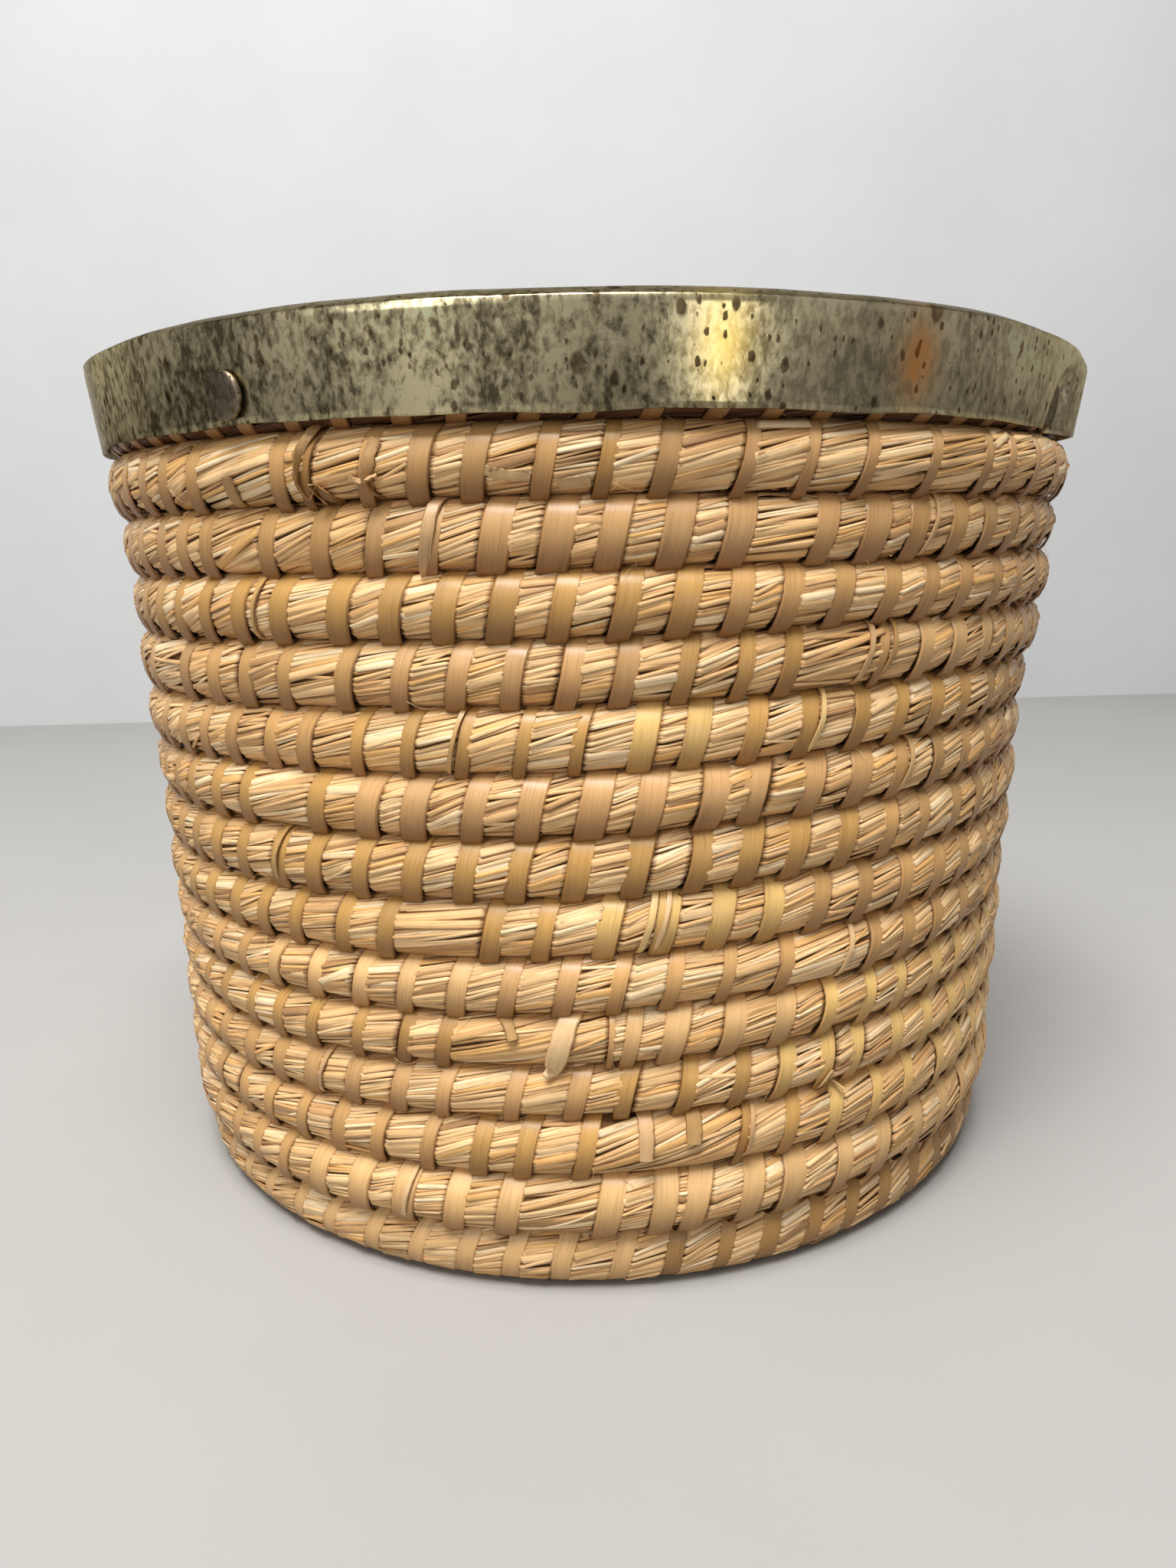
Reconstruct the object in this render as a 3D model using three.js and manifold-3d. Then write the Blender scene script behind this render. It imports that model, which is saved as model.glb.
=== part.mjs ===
// A coiled straw basket with a riveted brass rim, in millimetres, +Z up.
// The origin is the centre of the base at floor level, and the front of the basket faces -Y.
//
// The basket is one long bundle of straw, coiled flat from the middle of the base and then up the wall,
// with each turn sewn to the turn below it. Every turn runs level round the front and steps out, or up, to
// the next one at the back. The bundle is fed with fresh straw as the work goes on, and a bunch lasts about
// one turn of the wall, so the wall is one length of bundle for each turn, laid end to end.
// A brass strip is folded over the last turn as a channel. Four rivets pass through strip, straw and strip.
import * as THREE from "three";
import { mergeVertices } from "three/addons/utils/BufferGeometryUtils.js";
import Module from "manifold-3d";

const wasm = await Module();
wasm.setup();

// Overall sizes
const rimDiameter = 300;
const basketHeight = 240;
const footDiameter = 268;
// The first wall turn stands out this far past the outermost turn of the base, which it stands on
const footTuck = 3.5;

// The straw bundle: the rows that show below the brass, the thinner rows pressed into it, and how much of the
// lowest of those shows under its edge
const openRows = 14;
const coveredRows = 2;
const coveredReveal = 1;
// The rows were laid by eye. The grooves between them lie off an even spacing by these shares of the pitch, from
// the foot to the brass, and halfway up the wall they rise towards +X by up to this much.
const grooveDriftShares = [0, 0.16, 0.24, 0.26, 0.2, 0.15, 0.06, 0.04, 0.07, 0.04, 0.02, 0.03, 0.01, 0, 0];
const rowTilt = 5;
// Its width across, and the gaps left between turns
const bundleWidth = 14.2;
const besideGap = 0.6;
const stackGap = 0.5;
const endGap = 0.4;
// The bundle is thinned to this height at its last end, under the brass
const tailHeight = 6;
// A bundle's flat top, bottom and sides are this share of its height and width, as in a regular octagon
const flatShare = Math.SQRT2 - 1;
// The wall flares more towards the rim: its lean follows this power of the height
const flareExponent = 1.7;
// The angle, seen from above, of the middle of the step at the back
const stepAngle = THREE.MathUtils.degToRad(90);
// How far the first wall turn is pushed out where it climbs over the edge of the base
const climbBulge = 2.4;

// The brass channel over the rim. Its skirt hangs outside the straw and its flange inside.
const brassThickness = 0.8;
const skirtHeight = 24.5;
const flangeHeight = 22.5;
const crownRise = 2.6;
const skirtLean = 2.85;
const crownHeadroom = 2.7;
const skirtClearance = 0.9;
const flangeClearance = 2;
// The ends of the strip meet beside the second rivet, this far from it
const seamGap = 0.5;
const seamOffset = 12;

// The rivets
const rivetCount = 4;
const firstRivetAngle = THREE.MathUtils.degToRad(235);
const rivetAboveEdge = 6.6;
const headDiameter = 11;
const headThickness = 1.3;
const headEdge = 0.35;
const shankDiameter = 4;
const holeClearance = 0.3;
const seatClearance = 0.3;
const tailDiameter = 6.4;
const tailThickness = 1;

// How finely round shapes are faceted: the sections in a turn of the coil, and those of them in the step
const turnSections = 23;
const stepSections = 10;
const channelSegments = 48;
const crownSteps = 8;
const rivetSegments = 16;
// How far every cutting shape runs past what it cuts
const overrun = 2;

const fullTurn = 2 * Math.PI;

// What follows from those sizes. The rows are the outermost turn of the base, which the basket stands on,
// and the wall turns above it.
const rimRadius = rimDiameter / 2;
const skirtEdgeHeight = basketHeight - skirtHeight;
const flangeEdgeHeight = basketHeight - flangeHeight;
const shoulderHeight = basketHeight - crownRise;
const skirtSlope = skirtLean / (shoulderHeight - skirtEdgeHeight);
const skirtTilt = Math.atan(skirtSlope);
const coilTop = basketHeight - brassThickness - crownHeadroom;
const rows = openRows + coveredRows;
const wallTurns = rows - 1;
const rowPitch = (skirtEdgeHeight - coveredReveal) / openRows;
const rowHeight = rowPitch - stackGap;
const coveredPitch = (coilTop + stackGap - openRows * rowPitch) / coveredRows;
const basePitch = bundleWidth + besideGap;
const footRadius = (footDiameter - bundleWidth) / 2;
const waistRadius = footRadius + footTuck;
const baseTurns = Math.floor((footRadius - bundleWidth / 2) / basePitch);
const stepShare = stepSections / turnSections;

// Outer radius of the brass skirt at a height
function skirtRadius(z) {
  return rimRadius + skirtSlope * (z - shoulderHeight);
}

// Radius of the straw's centreline under the skirt, and of the wall at any height
function coveredRadius(z) {
  return skirtRadius(z) - brassThickness - skirtClearance - bundleWidth / 2;
}

function wallRadius(z) {
  if (z >= skirtEdgeHeight) return coveredRadius(z);
  const flare = coveredRadius(skirtEdgeHeight) - waistRadius;
  return waistRadius + flare * (z / skirtEdgeHeight) ** flareExponent;
}

// The coil's centreline, by turns: u is a whole number in the middle of every step at the back.
// Step 0 leads to the outermost turn of the base, step 1 up on to it, and each later step up another row.
function stepAt(u) {
  const step = Math.round(u);
  const t = THREE.MathUtils.clamp((u - step) / stepShare + 0.5, 0, 1);
  return { step, done: THREE.MathUtils.smoothstep(t, 0, 1) };
}

// The coil's level counts rows: 0 in the base, 1 on top of its outermost turn, and so on up the wall
function coilLevel(u) {
  const { step, done } = stepAt(u);
  return step < 1 ? 0 : step - 1 + Math.sin((done * Math.PI) / 2);
}

function levelHeight(level) {
  return rowPitch * Math.min(level, openRows) + coveredPitch * Math.max(level - openRows, 0);
}

// How far the groove under the bundle lies off its even place. It is worked out for the open wall only, and it
// fades in over the first row's climb and out before the brass.
function grooveShift(u) {
  const inWall = THREE.MathUtils.smoothstep(u, 1 - stepShare / 2, 1 + stepShare / 2);
  const underBrass = THREE.MathUtils.smoothstep(u, openRows, openRows + 1 - stepShare / 2);
  const lastDrift = grooveDriftShares.length - 1;
  const place = THREE.MathUtils.clamp(((u - 0.5) * lastDrift) / openRows, 0, lastDrift);
  const lower = Math.min(Math.floor(place), lastDrift - 1);
  const share = THREE.MathUtils.lerp(grooveDriftShares[lower], grooveDriftShares[lower + 1], place - lower);
  const halfway = Math.sin(Math.PI * THREE.MathUtils.clamp(u / openRows, 0, 1));
  return inWall * (1 - underBrass) * (share * rowPitch + rowTilt * Math.cos(coilAngle(u)) * halfway);
}

function coilFloor(u) {
  return levelHeight(coilLevel(u)) + grooveShift(u);
}

function coilRadius(u) {
  const { step, done } = stepAt(u);
  if (step < 1) return footRadius - basePitch * (1 - step - done);
  if (step > 1) return wallRadius(coilFloor(u) + coilSectionHeight(u) / 2);
  const firstRowRadius = wallRadius(rowPitch + rowHeight / 2);
  const roundTheEdge = basePitch * (Math.cos((done * Math.PI) / 2) - (1 - done));
  return footRadius + (firstRowRadius - footRadius) * done + roundTheEdge + climbBulge * Math.sin(done * Math.PI);
}

function coilSectionHeight(u) {
  return Math.min(levelHeight(coilLevel(u) + 1) + grooveShift(u + 1) - stackGap, coilTop) - coilFloor(u);
}

function coilAngle(u) {
  return stepAngle + fullTurn * u;
}

// The eight corners of the bundle's upright section at u, counter-clockwise as radius and height
function bundleSection(u) {
  const radius = coilRadius(u);
  const halfWidth = bundleWidth / 2;
  const halfHeight = coilSectionHeight(u) / 2;
  const middle = coilFloor(u) + halfHeight;
  const corners = [
    [1, -flatShare],
    [1, flatShare],
    [flatShare, 1],
    [-flatShare, 1],
    [-1, flatShare],
    [-1, -flatShare],
    [-flatShare, -1],
    [flatShare, -1],
  ];
  return corners.map(([across, up]) => [radius + across * halfWidth, middle + up * halfHeight]);
}

// Places for sections from start to end, at the same angles in every turn, so that their facets are parallel
function sectionPlaces(start, end) {
  const places = [start];
  for (let i = Math.floor(start * turnSections) + 1; i < end * turnSections; i++) places.push(i / turnSections);
  return [...places, end];
}

// A closed length of bundle from start to end, as one swept surface with flat ends
function bundleLength(start, end) {
  const positions = [];
  const faces = [];
  const places = sectionPlaces(start, end);
  for (const u of places) {
    const angle = coilAngle(u);
    for (const [radius, z] of bundleSection(u)) {
      positions.push(radius * Math.cos(angle), radius * Math.sin(angle), z);
    }
  }
  const sides = bundleSection(start).length;
  const last = positions.length / 3 - sides;
  for (let ring = 0; ring < last; ring += sides) {
    for (let side = 0; side < sides; side++) {
      const a = ring + side;
      const b = ring + ((side + 1) % sides);
      faces.push(a, b + sides, b, a, a + sides, b + sides);
    }
  }
  for (let side = 1; side < sides - 1; side++) {
    faces.push(0, side, side + 1, last, last + side + 1, last + side);
  }
  const geometry = new THREE.BufferGeometry();
  geometry.setAttribute("position", new THREE.Float32BufferAttribute(positions, 3));
  geometry.setIndex(faces);
  return geometry;
}

// Half of the gap between two lengths laid end to end, as a share of a turn
function endShare(u) {
  return endGap / 2 / (fullTurn * coilRadius(u));
}

// Each turn starts where its step does. The coil's last end is thinned to fill the space that is left under
// the brass at the last step.
function turnStart(turn) {
  return turn - stepShare / 2;
}

const coilStart = turnStart(1 - baseTurns) - (1 - stepShare);
const tailRise = (2 / Math.PI) * Math.asin((coveredPitch - stackGap - tailHeight) / coveredPitch);
const coilEnd = turnStart(rows) + stepShare * (0.5 - Math.sin(Math.asin(1 - 2 * tailRise) / 3));

// The least distance between neighbouring turns, from the corners of each to the flats of the other
function leastTurnGap() {
  let least = Infinity;
  for (const u of sectionPlaces(coilStart, coilEnd - 1)) {
    const turns = [u, u + 1].map((place) => bundleSection(place).map((corner) => new THREE.Vector2(...corner)));
    for (const [corners, flats] of [turns, [...turns].reverse()]) {
      for (const corner of corners) {
        flats.forEach((from, side) => {
          const flat = flats[(side + 1) % flats.length].clone().sub(from);
          const along = corner.clone().sub(from).dot(flat) / flat.lengthSq();
          const nearest = from.clone().addScaledVector(flat, THREE.MathUtils.clamp(along, 0, 1));
          least = Math.min(least, corner.distanceTo(nearest));
        });
      }
    }
  }
  return least;
}

// Joining and cutting
function toSolid(geometry) {
  const bare = geometry.clone();
  bare.deleteAttribute("normal");
  bare.deleteAttribute("uv");
  const merged = mergeVertices(bare, 1e-4);
  return new wasm.Manifold(
    new wasm.Mesh({
      numProp: 3,
      vertProperties: merged.attributes.position.array,
      triVerts: new Uint32Array(merged.index.array),
    }),
  );
}

function toGeometry(solid) {
  const mesh = solid.getMesh();
  const geometry = new THREE.BufferGeometry();
  geometry.setAttribute("position", new THREE.BufferAttribute(new Float32Array(mesh.vertProperties), 3));
  geometry.setIndex(new THREE.BufferAttribute(new Uint32Array(mesh.triVerts), 1));
  geometry.computeVertexNormals();
  return geometry;
}

// A solid turned about +Z from a profile of [radius, height] points
function turned(profile, segments) {
  const points = profile.map(([radius, height]) => new THREE.Vector2(radius, height));
  return new THREE.LatheGeometry(points, segments).rotateX(Math.PI / 2);
}

// The channel's width over its two walls. Its flange is parallel to its skirt, so a rivet seats square on both.
const channelWidth = 2 * brassThickness + skirtClearance + bundleWidth + flangeClearance;

// One face of the channel, an inset inside its outer surface, from the skirt's edge over the crown to the
// flange's edge. The crown is half an ellipse.
function channelFace(inset) {
  const middle = rimRadius - channelWidth / 2;
  const points = [[skirtRadius(skirtEdgeHeight) - inset, skirtEdgeHeight]];
  for (let i = 0; i <= crownSteps; i++) {
    const angle = (Math.PI * i) / crownSteps;
    const across = channelWidth / 2 - inset;
    const up = crownRise - inset;
    points.push([middle + across * Math.cos(angle), shoulderHeight + up * Math.sin(angle)]);
  }
  points.push([skirtRadius(flangeEdgeHeight) - channelWidth + inset, flangeEdgeHeight]);
  return points;
}

function channelProfile() {
  const inside = channelFace(brassThickness).reverse();
  return [...channelFace(0), ...inside, channelFace(0)[0]];
}

// A rivet is made standing on the skirt's outer face, with its head above the face and its tail below
const gripLength = channelWidth * Math.cos(skirtTilt) + 2 * seatClearance;

function rivetProfile() {
  const head = headDiameter / 2;
  const shank = shankDiameter / 2;
  const tail = tailDiameter / 2;
  const headSeat = seatClearance;
  const tailSeat = seatClearance - gripLength;
  return [
    [0, tailSeat - tailThickness],
    [tail - headEdge, tailSeat - tailThickness],
    [tail, tailSeat],
    [shank, tailSeat],
    [shank, headSeat],
    [head, headSeat],
    [head, headSeat + headThickness - headEdge],
    [head - headEdge, headSeat + headThickness],
    [0, headSeat + headThickness],
  ];
}

// Rivets stand in the middle of a facet of the channel, square to its leaning skirt
const rivetHeight = skirtEdgeHeight + rivetAboveEdge;
const halfFacet = Math.PI / channelSegments;

function rivetAngle(index) {
  return firstRivetAngle + (fullTurn * index) / rivetCount;
}

function placeOnSkirt(object, index) {
  const angle = rivetAngle(index);
  const radius = skirtRadius(rivetHeight) * Math.cos(halfFacet);
  object.position.set(radius * Math.cos(angle), radius * Math.sin(angle), rivetHeight);
  object.rotation.set(0, Math.PI / 2 + skirtTilt, angle, "ZYX");
  object.updateMatrix();
  return object;
}

function rivetDrill(index) {
  const radius = shankDiameter / 2 + holeClearance;
  const length = gripLength + tailThickness + headThickness + 2 * overrun;
  const drill = new THREE.CylinderGeometry(radius, radius, length, rivetSegments);
  drill.rotateX(Math.PI / 2).translate(0, 0, overrun + headThickness - length / 2);
  return toSolid(drill.applyMatrix4(placeOnSkirt(new THREE.Object3D(), index).matrix));
}

const rivetDrills = Array.from({ length: rivetCount }, (_, index) => rivetDrill(index));

function drilled(geometry) {
  return rivetDrills.reduce((solid, drill) => solid.subtract(drill), toSolid(geometry));
}

// The slot between the strip's two ends
function seamSlot() {
  const depth = channelWidth + skirtLean + 2 * overrun;
  const height = skirtHeight + 2 * overrun;
  const slot = new THREE.BoxGeometry(depth, seamGap, height);
  slot.translate(rimRadius + overrun - depth / 2, 0, basketHeight + overrun - height / 2);
  return toSolid(slot.rotateZ(rivetAngle(1) - seamOffset / rimRadius));
}

// Materials
const goldenStraw = new THREE.MeshStandardMaterial({ color: 0xd2a968, roughness: 0.75, metalness: 0 });
const paleStraw = new THREE.MeshStandardMaterial({ color: 0xdcb87c, roughness: 0.75, metalness: 0 });
const agedBrass = new THREE.MeshStandardMaterial({ color: 0x7d7348, roughness: 0.38, metalness: 1 });
const darkBrass = new THREE.MeshStandardMaterial({ color: 0x5d4f3c, roughness: 0.45, metalness: 1 });

function piece(name, geometry, material) {
  const mesh = new THREE.Mesh(geometry, material);
  mesh.name = name;
  return mesh;
}

function wallCoil(turn) {
  const start = turnStart(turn) + endShare(turn);
  const end = turn < wallTurns ? turnStart(turn + 1) - endShare(turn + 1) : coilEnd;
  const plain = bundleLength(start, end);
  const top = coilFloor(end) + rowHeight;
  const geometry = top > rivetHeight - shankDiameter ? toGeometry(drilled(plain)) : plain;
  return piece("wall_coil_" + String(turn).padStart(2, "0"), geometry, turn % 2 ? paleStraw : goldenStraw);
}

function rimBand() {
  const channel = turned(channelProfile(), channelSegments).rotateZ(firstRivetAngle + halfFacet);
  return piece("rim_band", toGeometry(drilled(channel).subtract(seamSlot())), agedBrass);
}

function rimRivet(index) {
  return placeOnSkirt(piece("rim_rivet_" + (index + 1), turned(rivetProfile(), rivetSegments), darkBrass), index);
}

const straw = new THREE.Group();
straw.add(piece("base_coil", bundleLength(coilStart, turnStart(1) - endShare(1)), goldenStraw));
for (let turn = 1; turn <= wallTurns; turn++) straw.add(wallCoil(turn));

const rim = new THREE.Group();
rim.add(rimBand());
for (let index = 0; index < rivetCount; index++) rim.add(rimRivet(index));

const basket = new THREE.Group();
basket.add(straw, rim);

console.log(baseTurns + " turns in the base, " + openRows + " open rows at a pitch of " + rowPitch.toFixed(2) + " mm");
console.log(coveredRows + " covered rows at a pitch of " + coveredPitch.toFixed(2) + " mm");
console.log("least gap between turns " + leastTurnGap().toFixed(2) + " mm");

export default basket;
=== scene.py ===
"""A coiled straw basket with a riveted brass rim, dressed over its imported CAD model.

Everything is in metres in the CAD frame: +Z up, the front at -Y, the origin on the floor under the middle.
"""

import math

import bpy
import numpy as np
from mathutils import Matrix


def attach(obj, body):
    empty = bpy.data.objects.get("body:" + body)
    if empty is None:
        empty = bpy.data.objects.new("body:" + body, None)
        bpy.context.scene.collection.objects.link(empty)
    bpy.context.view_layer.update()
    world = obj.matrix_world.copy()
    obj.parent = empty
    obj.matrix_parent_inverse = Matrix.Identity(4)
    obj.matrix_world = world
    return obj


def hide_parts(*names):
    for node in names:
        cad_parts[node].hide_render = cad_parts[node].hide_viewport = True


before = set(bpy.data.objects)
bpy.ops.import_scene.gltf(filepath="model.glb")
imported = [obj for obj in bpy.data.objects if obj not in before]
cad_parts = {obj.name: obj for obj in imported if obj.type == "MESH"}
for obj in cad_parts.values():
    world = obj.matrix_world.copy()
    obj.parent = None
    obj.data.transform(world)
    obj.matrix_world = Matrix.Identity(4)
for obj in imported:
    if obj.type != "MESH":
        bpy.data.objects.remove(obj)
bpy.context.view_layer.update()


# The straw bundle. It is one rope of loose straw, finger thick, coiled flat from the middle of the base and
# then up the wall. Every turn runs level round the front and steps out, or up, to the next one at the back.
mm = 0.001
full_turn = 2 * np.pi
rim_radius = 150 * mm
basket_height = 240 * mm
bundle_width = 14.2 * mm
base_pitch = 14.8 * mm
foot_radius = 126.9 * mm
waist_radius = 130.4 * mm
open_rows = 14
skirt_edge = 215.5 * mm
shoulder_height = 237.4 * mm
skirt_slope = 0.13
row_pitch = 214.5 * mm / open_rows
covered_pitch = 11.25 * mm
coil_top = 236.5 * mm
flare_exponent = 1.7
step_share = 10 / 23
climb_bulge = 2.4 * mm
coil_start = -7.783
coil_end = 15.98
off_floor = 0.7 * mm
roundness = 2.1
# The rope is packed fuller where it climbs off the base, so that no light comes in between the turns
climb_fill = 2.9 * mm
climb_drawn_in = 0.8
climb_turn = 0.985
climb_width = 0.108
# The bundle lies this far inside the corners of the model's facets, and it wavers until it is well under
# the brass. The row under the brass stands out a little, and the upper rows swell out at the right, where
# the rim was knocked. Each begins or ends at some turn, and grows or fades over so many turns
sunk = 0.5 * mm
bundle_waver = 0.45 * mm
waver_ends, waver_fade = 14.6, 0.8
top_row_out = 1.3 * mm
top_row_begins, top_row_growth = 12.75, 0.3
open_rope_ends, open_rope_fade = 13.82, 0.12
swell_out = 3.5 * mm
swell_begins, swell_growth = 9.3, 2.6
swell_angle = math.radians(330)
swell_width = math.radians(24)
# The grooves lie above or below even spacing by these shares of the pitch, from the foot to the brass.
# Halfway up the wall they rise to the right, and they waver a little
groove_drift_shares = [0, 0.16, 0.24, 0.26, 0.2, 0.15, 0.06, 0.04, 0.07, 0.04, 0.02, 0.03, 0.01, 0, 0]
row_tilt = 5 * mm
groove_waver = 0.4 * mm


def smooth(t):
    """A cubic ease: 0 below 0, 1 above 1, and 3t^2 - 2t^3 between."""
    t = np.clip(t, 0, 1)
    return t * t * (3 - 2 * t)


def hump(x, middle, width):
    """A smooth hump, 1 at its middle: exp(-((x - middle) / width)^2)."""
    return np.exp(-((x - middle) / width) ** 2)


def wander(u, seed, lobes=(1.3, 2.7, 4.9, 7.3)):
    """A slow unevenness between about -1 and 1 along the turns u: a sum of sine waves with seeded
    phases."""
    phases = np.random.default_rng(seed).uniform(0, full_turn, len(lobes))
    waves = sum(np.sin(full_turn * lobe * u + phase) for lobe, phase in zip(lobes, phases))
    return waves / np.sqrt(2 * len(lobes))


def angle_at(u):
    """The angle from +X at turn u. Whole turns end at the back."""
    return np.pi / 2 + full_turn * u


def angle_from(angle, middle):
    """How far an angle is from the middle one, the short way round."""
    return (angle - middle + np.pi) % full_turn - np.pi


def at_angle(r, z, angle):
    """Points from their radius, height and angle: (r cos, r sin, z)."""
    return np.stack(np.broadcast_arrays(r * np.cos(angle), r * np.sin(angle), z), -1)


def step_at(u):
    """The nearest step of the coil, and how much of it is done at u, from 0 to 1."""
    step = np.round(u)
    return step, smooth((u - step) / step_share + 0.5)


def level_height(level):
    """Height of the floor of a row: whole rows at the open pitch, then the flatter ones under the brass."""
    return row_pitch * np.minimum(level, open_rows) + covered_pitch * np.maximum(level - open_rows, 0)


def groove_shift(u):
    """How far a groove lies off its even height: the drift and tilt of the rows, faded in over the first
    climb and out under the brass, with a slow unevenness."""
    in_wall = smooth((u - 1) / step_share + 0.5) * (1 - smooth((u - open_rows) / (1 - step_share / 2)))
    rows = np.arange(len(groove_drift_shares)) + 0.5
    tilt = row_tilt * np.cos(angle_at(u)) * np.sin(np.pi * np.clip(u / open_rows, 0, 1))
    drift = np.interp(u, rows, groove_drift_shares) * row_pitch
    return in_wall * (drift + tilt + groove_waver * wander(u, 1))


def coil_level(u):
    """Rows counted up the wall: 0 in the base, then rising by one over each step."""
    step, done = step_at(u)
    return np.where(step < 1, 0, step - 1 + np.sin(done * np.pi / 2))


def fuller_climb(u):
    """How much lower the rope's underside lies where it climbs off the base: a hump round that turn."""
    return climb_fill * hump(u, climb_turn, climb_width)


def bundle_low(u):
    """Height of the bundle's underside."""
    return np.maximum(level_height(coil_level(u)) + groove_shift(u) - fuller_climb(u), off_floor)


def bundle_high(u):
    """Height of the bundle's top, which is the groove under the next turn."""
    return np.minimum(level_height(coil_level(u) + 1) + groove_shift(u + 1), coil_top)


def covered_radius(z):
    """Radius of the bundle's middle under the brass."""
    return rim_radius + skirt_slope * (z - shoulder_height) - 8.8 * mm


def wall_radius(z):
    """Radius of the bundle's middle in the wall: it flares from the waist by a power of the height."""
    flare = covered_radius(skirt_edge) - waist_radius
    open_wall = waist_radius + flare * (np.clip(z, 0, None) / skirt_edge) ** flare_exponent
    return np.where(z >= skirt_edge, covered_radius(z), open_wall)


def coil_radius(u):
    """Radius of the bundle's middle. It steps out by the base's pitch, rolls over the edge and then follows
    the wall, and the unevenness and the swellings are added."""
    step, done = step_at(u)
    base = foot_radius - base_pitch * (1 - step - done)
    first = wall_radius(1.5 * row_pitch)
    rolled = base_pitch * (np.cos(done * np.pi / 2) - (1 - done)) + climb_bulge * np.sin(done * np.pi)
    over_edge = foot_radius + (first - foot_radius) * done + rolled
    wall = wall_radius((bundle_low(u) + bundle_high(u)) / 2)
    even_path = np.where(step < 1, base, np.where(step > 1, wall, over_edge))
    unevenness = (bundle_waver * wander(u, 2) - sunk) * smooth(u - 0.5)
    unevenness = unevenness * smooth((waver_ends - u) / waver_fade)
    open_end = smooth((open_rope_ends - u) / open_rope_fade)
    swelling = swell_out * hump(angle_from(angle_at(u), swell_angle), 0, swell_width)
    swelling = swelling * smooth((u - swell_begins) / swell_growth) * open_end
    flush = top_row_out * smooth((u - top_row_begins) / top_row_growth) * open_end
    return even_path + unevenness + swelling + flush - climb_drawn_in * fuller_climb(u)


def on_bundle(u, phi, swell=1.0, lift=0.0):
    """Points on the bundle's skin at turn u, at phi round its section: 0 outwards, a quarter turn up, a
    half in. The section is a rounded square, |x|^n + |y|^n = 1, scaled by swell, and lift is added along
    its normal. It gives the points and the normals, as arrays ending in x, y, z."""
    low, high = bundle_low(u), bundle_high(u)
    half_width, half_height = bundle_width / 2, (high - low) / 2
    c, s = np.cos(phi), np.sin(phi)
    power = 2 / roundness
    across, up = np.sign(c) * np.abs(c) ** power, np.sign(s) * np.abs(s) ** power
    out_r = np.sign(c) * np.abs(c) ** (2 - power) / half_width
    out_z = np.sign(s) * np.abs(s) ** (2 - power) / half_height
    size = np.hypot(out_r, out_z)
    out_r, out_z = out_r / size, out_z / size
    r = coil_radius(u) + swell * half_width * across + lift * out_r
    z = (low + high) / 2 + swell * half_height * up + lift * out_z
    return at_angle(r, z, angle_at(u)), at_angle(out_r, out_z, angle_at(u))


def unit(v):
    """Vectors scaled to length 1: v / |v|."""
    return v / np.maximum(np.linalg.norm(v, axis=-1, keepdims=True), 1e-12)


def across_and_out(centre, normal):
    """The sideways and outward ways along runs of points: side = normal x travel, out = travel x side."""
    travel = unit(np.gradient(centre, axis=-2))
    side = unit(np.cross(normal, travel))
    return side, unit(np.cross(travel, side))


def in_scene(name, held):
    """A new object in the scene that holds a mesh, a lamp or a camera."""
    made = bpy.data.objects.new(name, held)
    bpy.context.scene.collection.objects.link(made)
    return made


def strand_mesh(name, points, tone, along, around, material, crisp_angle=None):
    """One mesh of many closed strands. points has the shape (strands, rings, sides, 3), each ring running
    anticlockwise seen from the strand's far end. Rings are joined side by side and each end is a flat face.
    tone is a linear colour per point, and along and around are the UV map, in metres."""
    points = np.maximum(points, (-1, -1, 0))
    strands, rings, sides = points.shape[:3]
    index = np.arange(strands * rings * sides, dtype=np.int32).reshape(strands, rings, sides)
    near, far = index[:, :-1], index[:, 1:]
    quads = np.stack([near, np.roll(near, -1, 2), np.roll(far, -1, 2), far], -1).reshape(-1)
    caps = np.concatenate([index[:, 0, ::-1].reshape(-1), index[:, -1].reshape(-1)])
    corners = np.concatenate([quads, caps])
    starts = np.concatenate([np.arange(0, len(quads), 4), len(quads) + np.arange(0, len(caps), sides)])
    mesh = bpy.data.meshes.new(name)
    mesh.vertices.add(index.size)
    mesh.vertices.foreach_set("co", points.astype(np.float32).ravel())
    mesh.loops.add(len(corners))
    mesh.loops.foreach_set("vertex_index", corners.astype(np.int32))
    mesh.polygons.add(len(starts))
    mesh.polygons.foreach_set("loop_start", starts.astype(np.int32))
    mesh.polygons.foreach_set("use_smooth", np.ones(len(starts), bool))
    mesh.update(calc_edges=True)
    colour = np.ones((index.size, 4), np.float32)
    colour[:, :3] = np.broadcast_to(tone, points.shape).reshape(-1, 3)
    mesh.attributes.new("tone", "FLOAT_COLOR", "POINT").data.foreach_set("color", colour.ravel())
    uv = np.stack(np.broadcast_arrays(along, around), -1).astype(np.float32)
    uv = np.broadcast_to(uv, points.shape[:3] + (2,)).reshape(-1, 2)[corners]
    mesh.uv_layers.new(name="UVMap").data.foreach_set("uv", uv.ravel())
    if crisp_angle is not None:
        mesh.set_sharp_from_angle(angle=crisp_angle)
    mesh.validate()
    mesh.materials.append(material)
    return in_scene(name, mesh)


def node(tree, kind, inputs=(), **settings):
    """A shader node with its settings, and with a value or a link put into each named or numbered input."""
    made = tree.nodes.new("ShaderNode" + kind)
    for key, value in settings.items():
        setattr(made, key, value)
    for key, value in dict(inputs).items():
        socket = made.inputs[key]
        if isinstance(value, bpy.types.NodeSocket):
            tree.links.new(value, socket)
        else:
            socket.default_value = value
    return made


def maths(tree, operation, *values):
    """The output of a Math node."""
    return node(tree, "Math", enumerate(values), operation=operation).outputs[0]


def times(tree, a, b):
    """The product of two shader values."""
    return maths(tree, "MULTIPLY", a, b)


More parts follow.
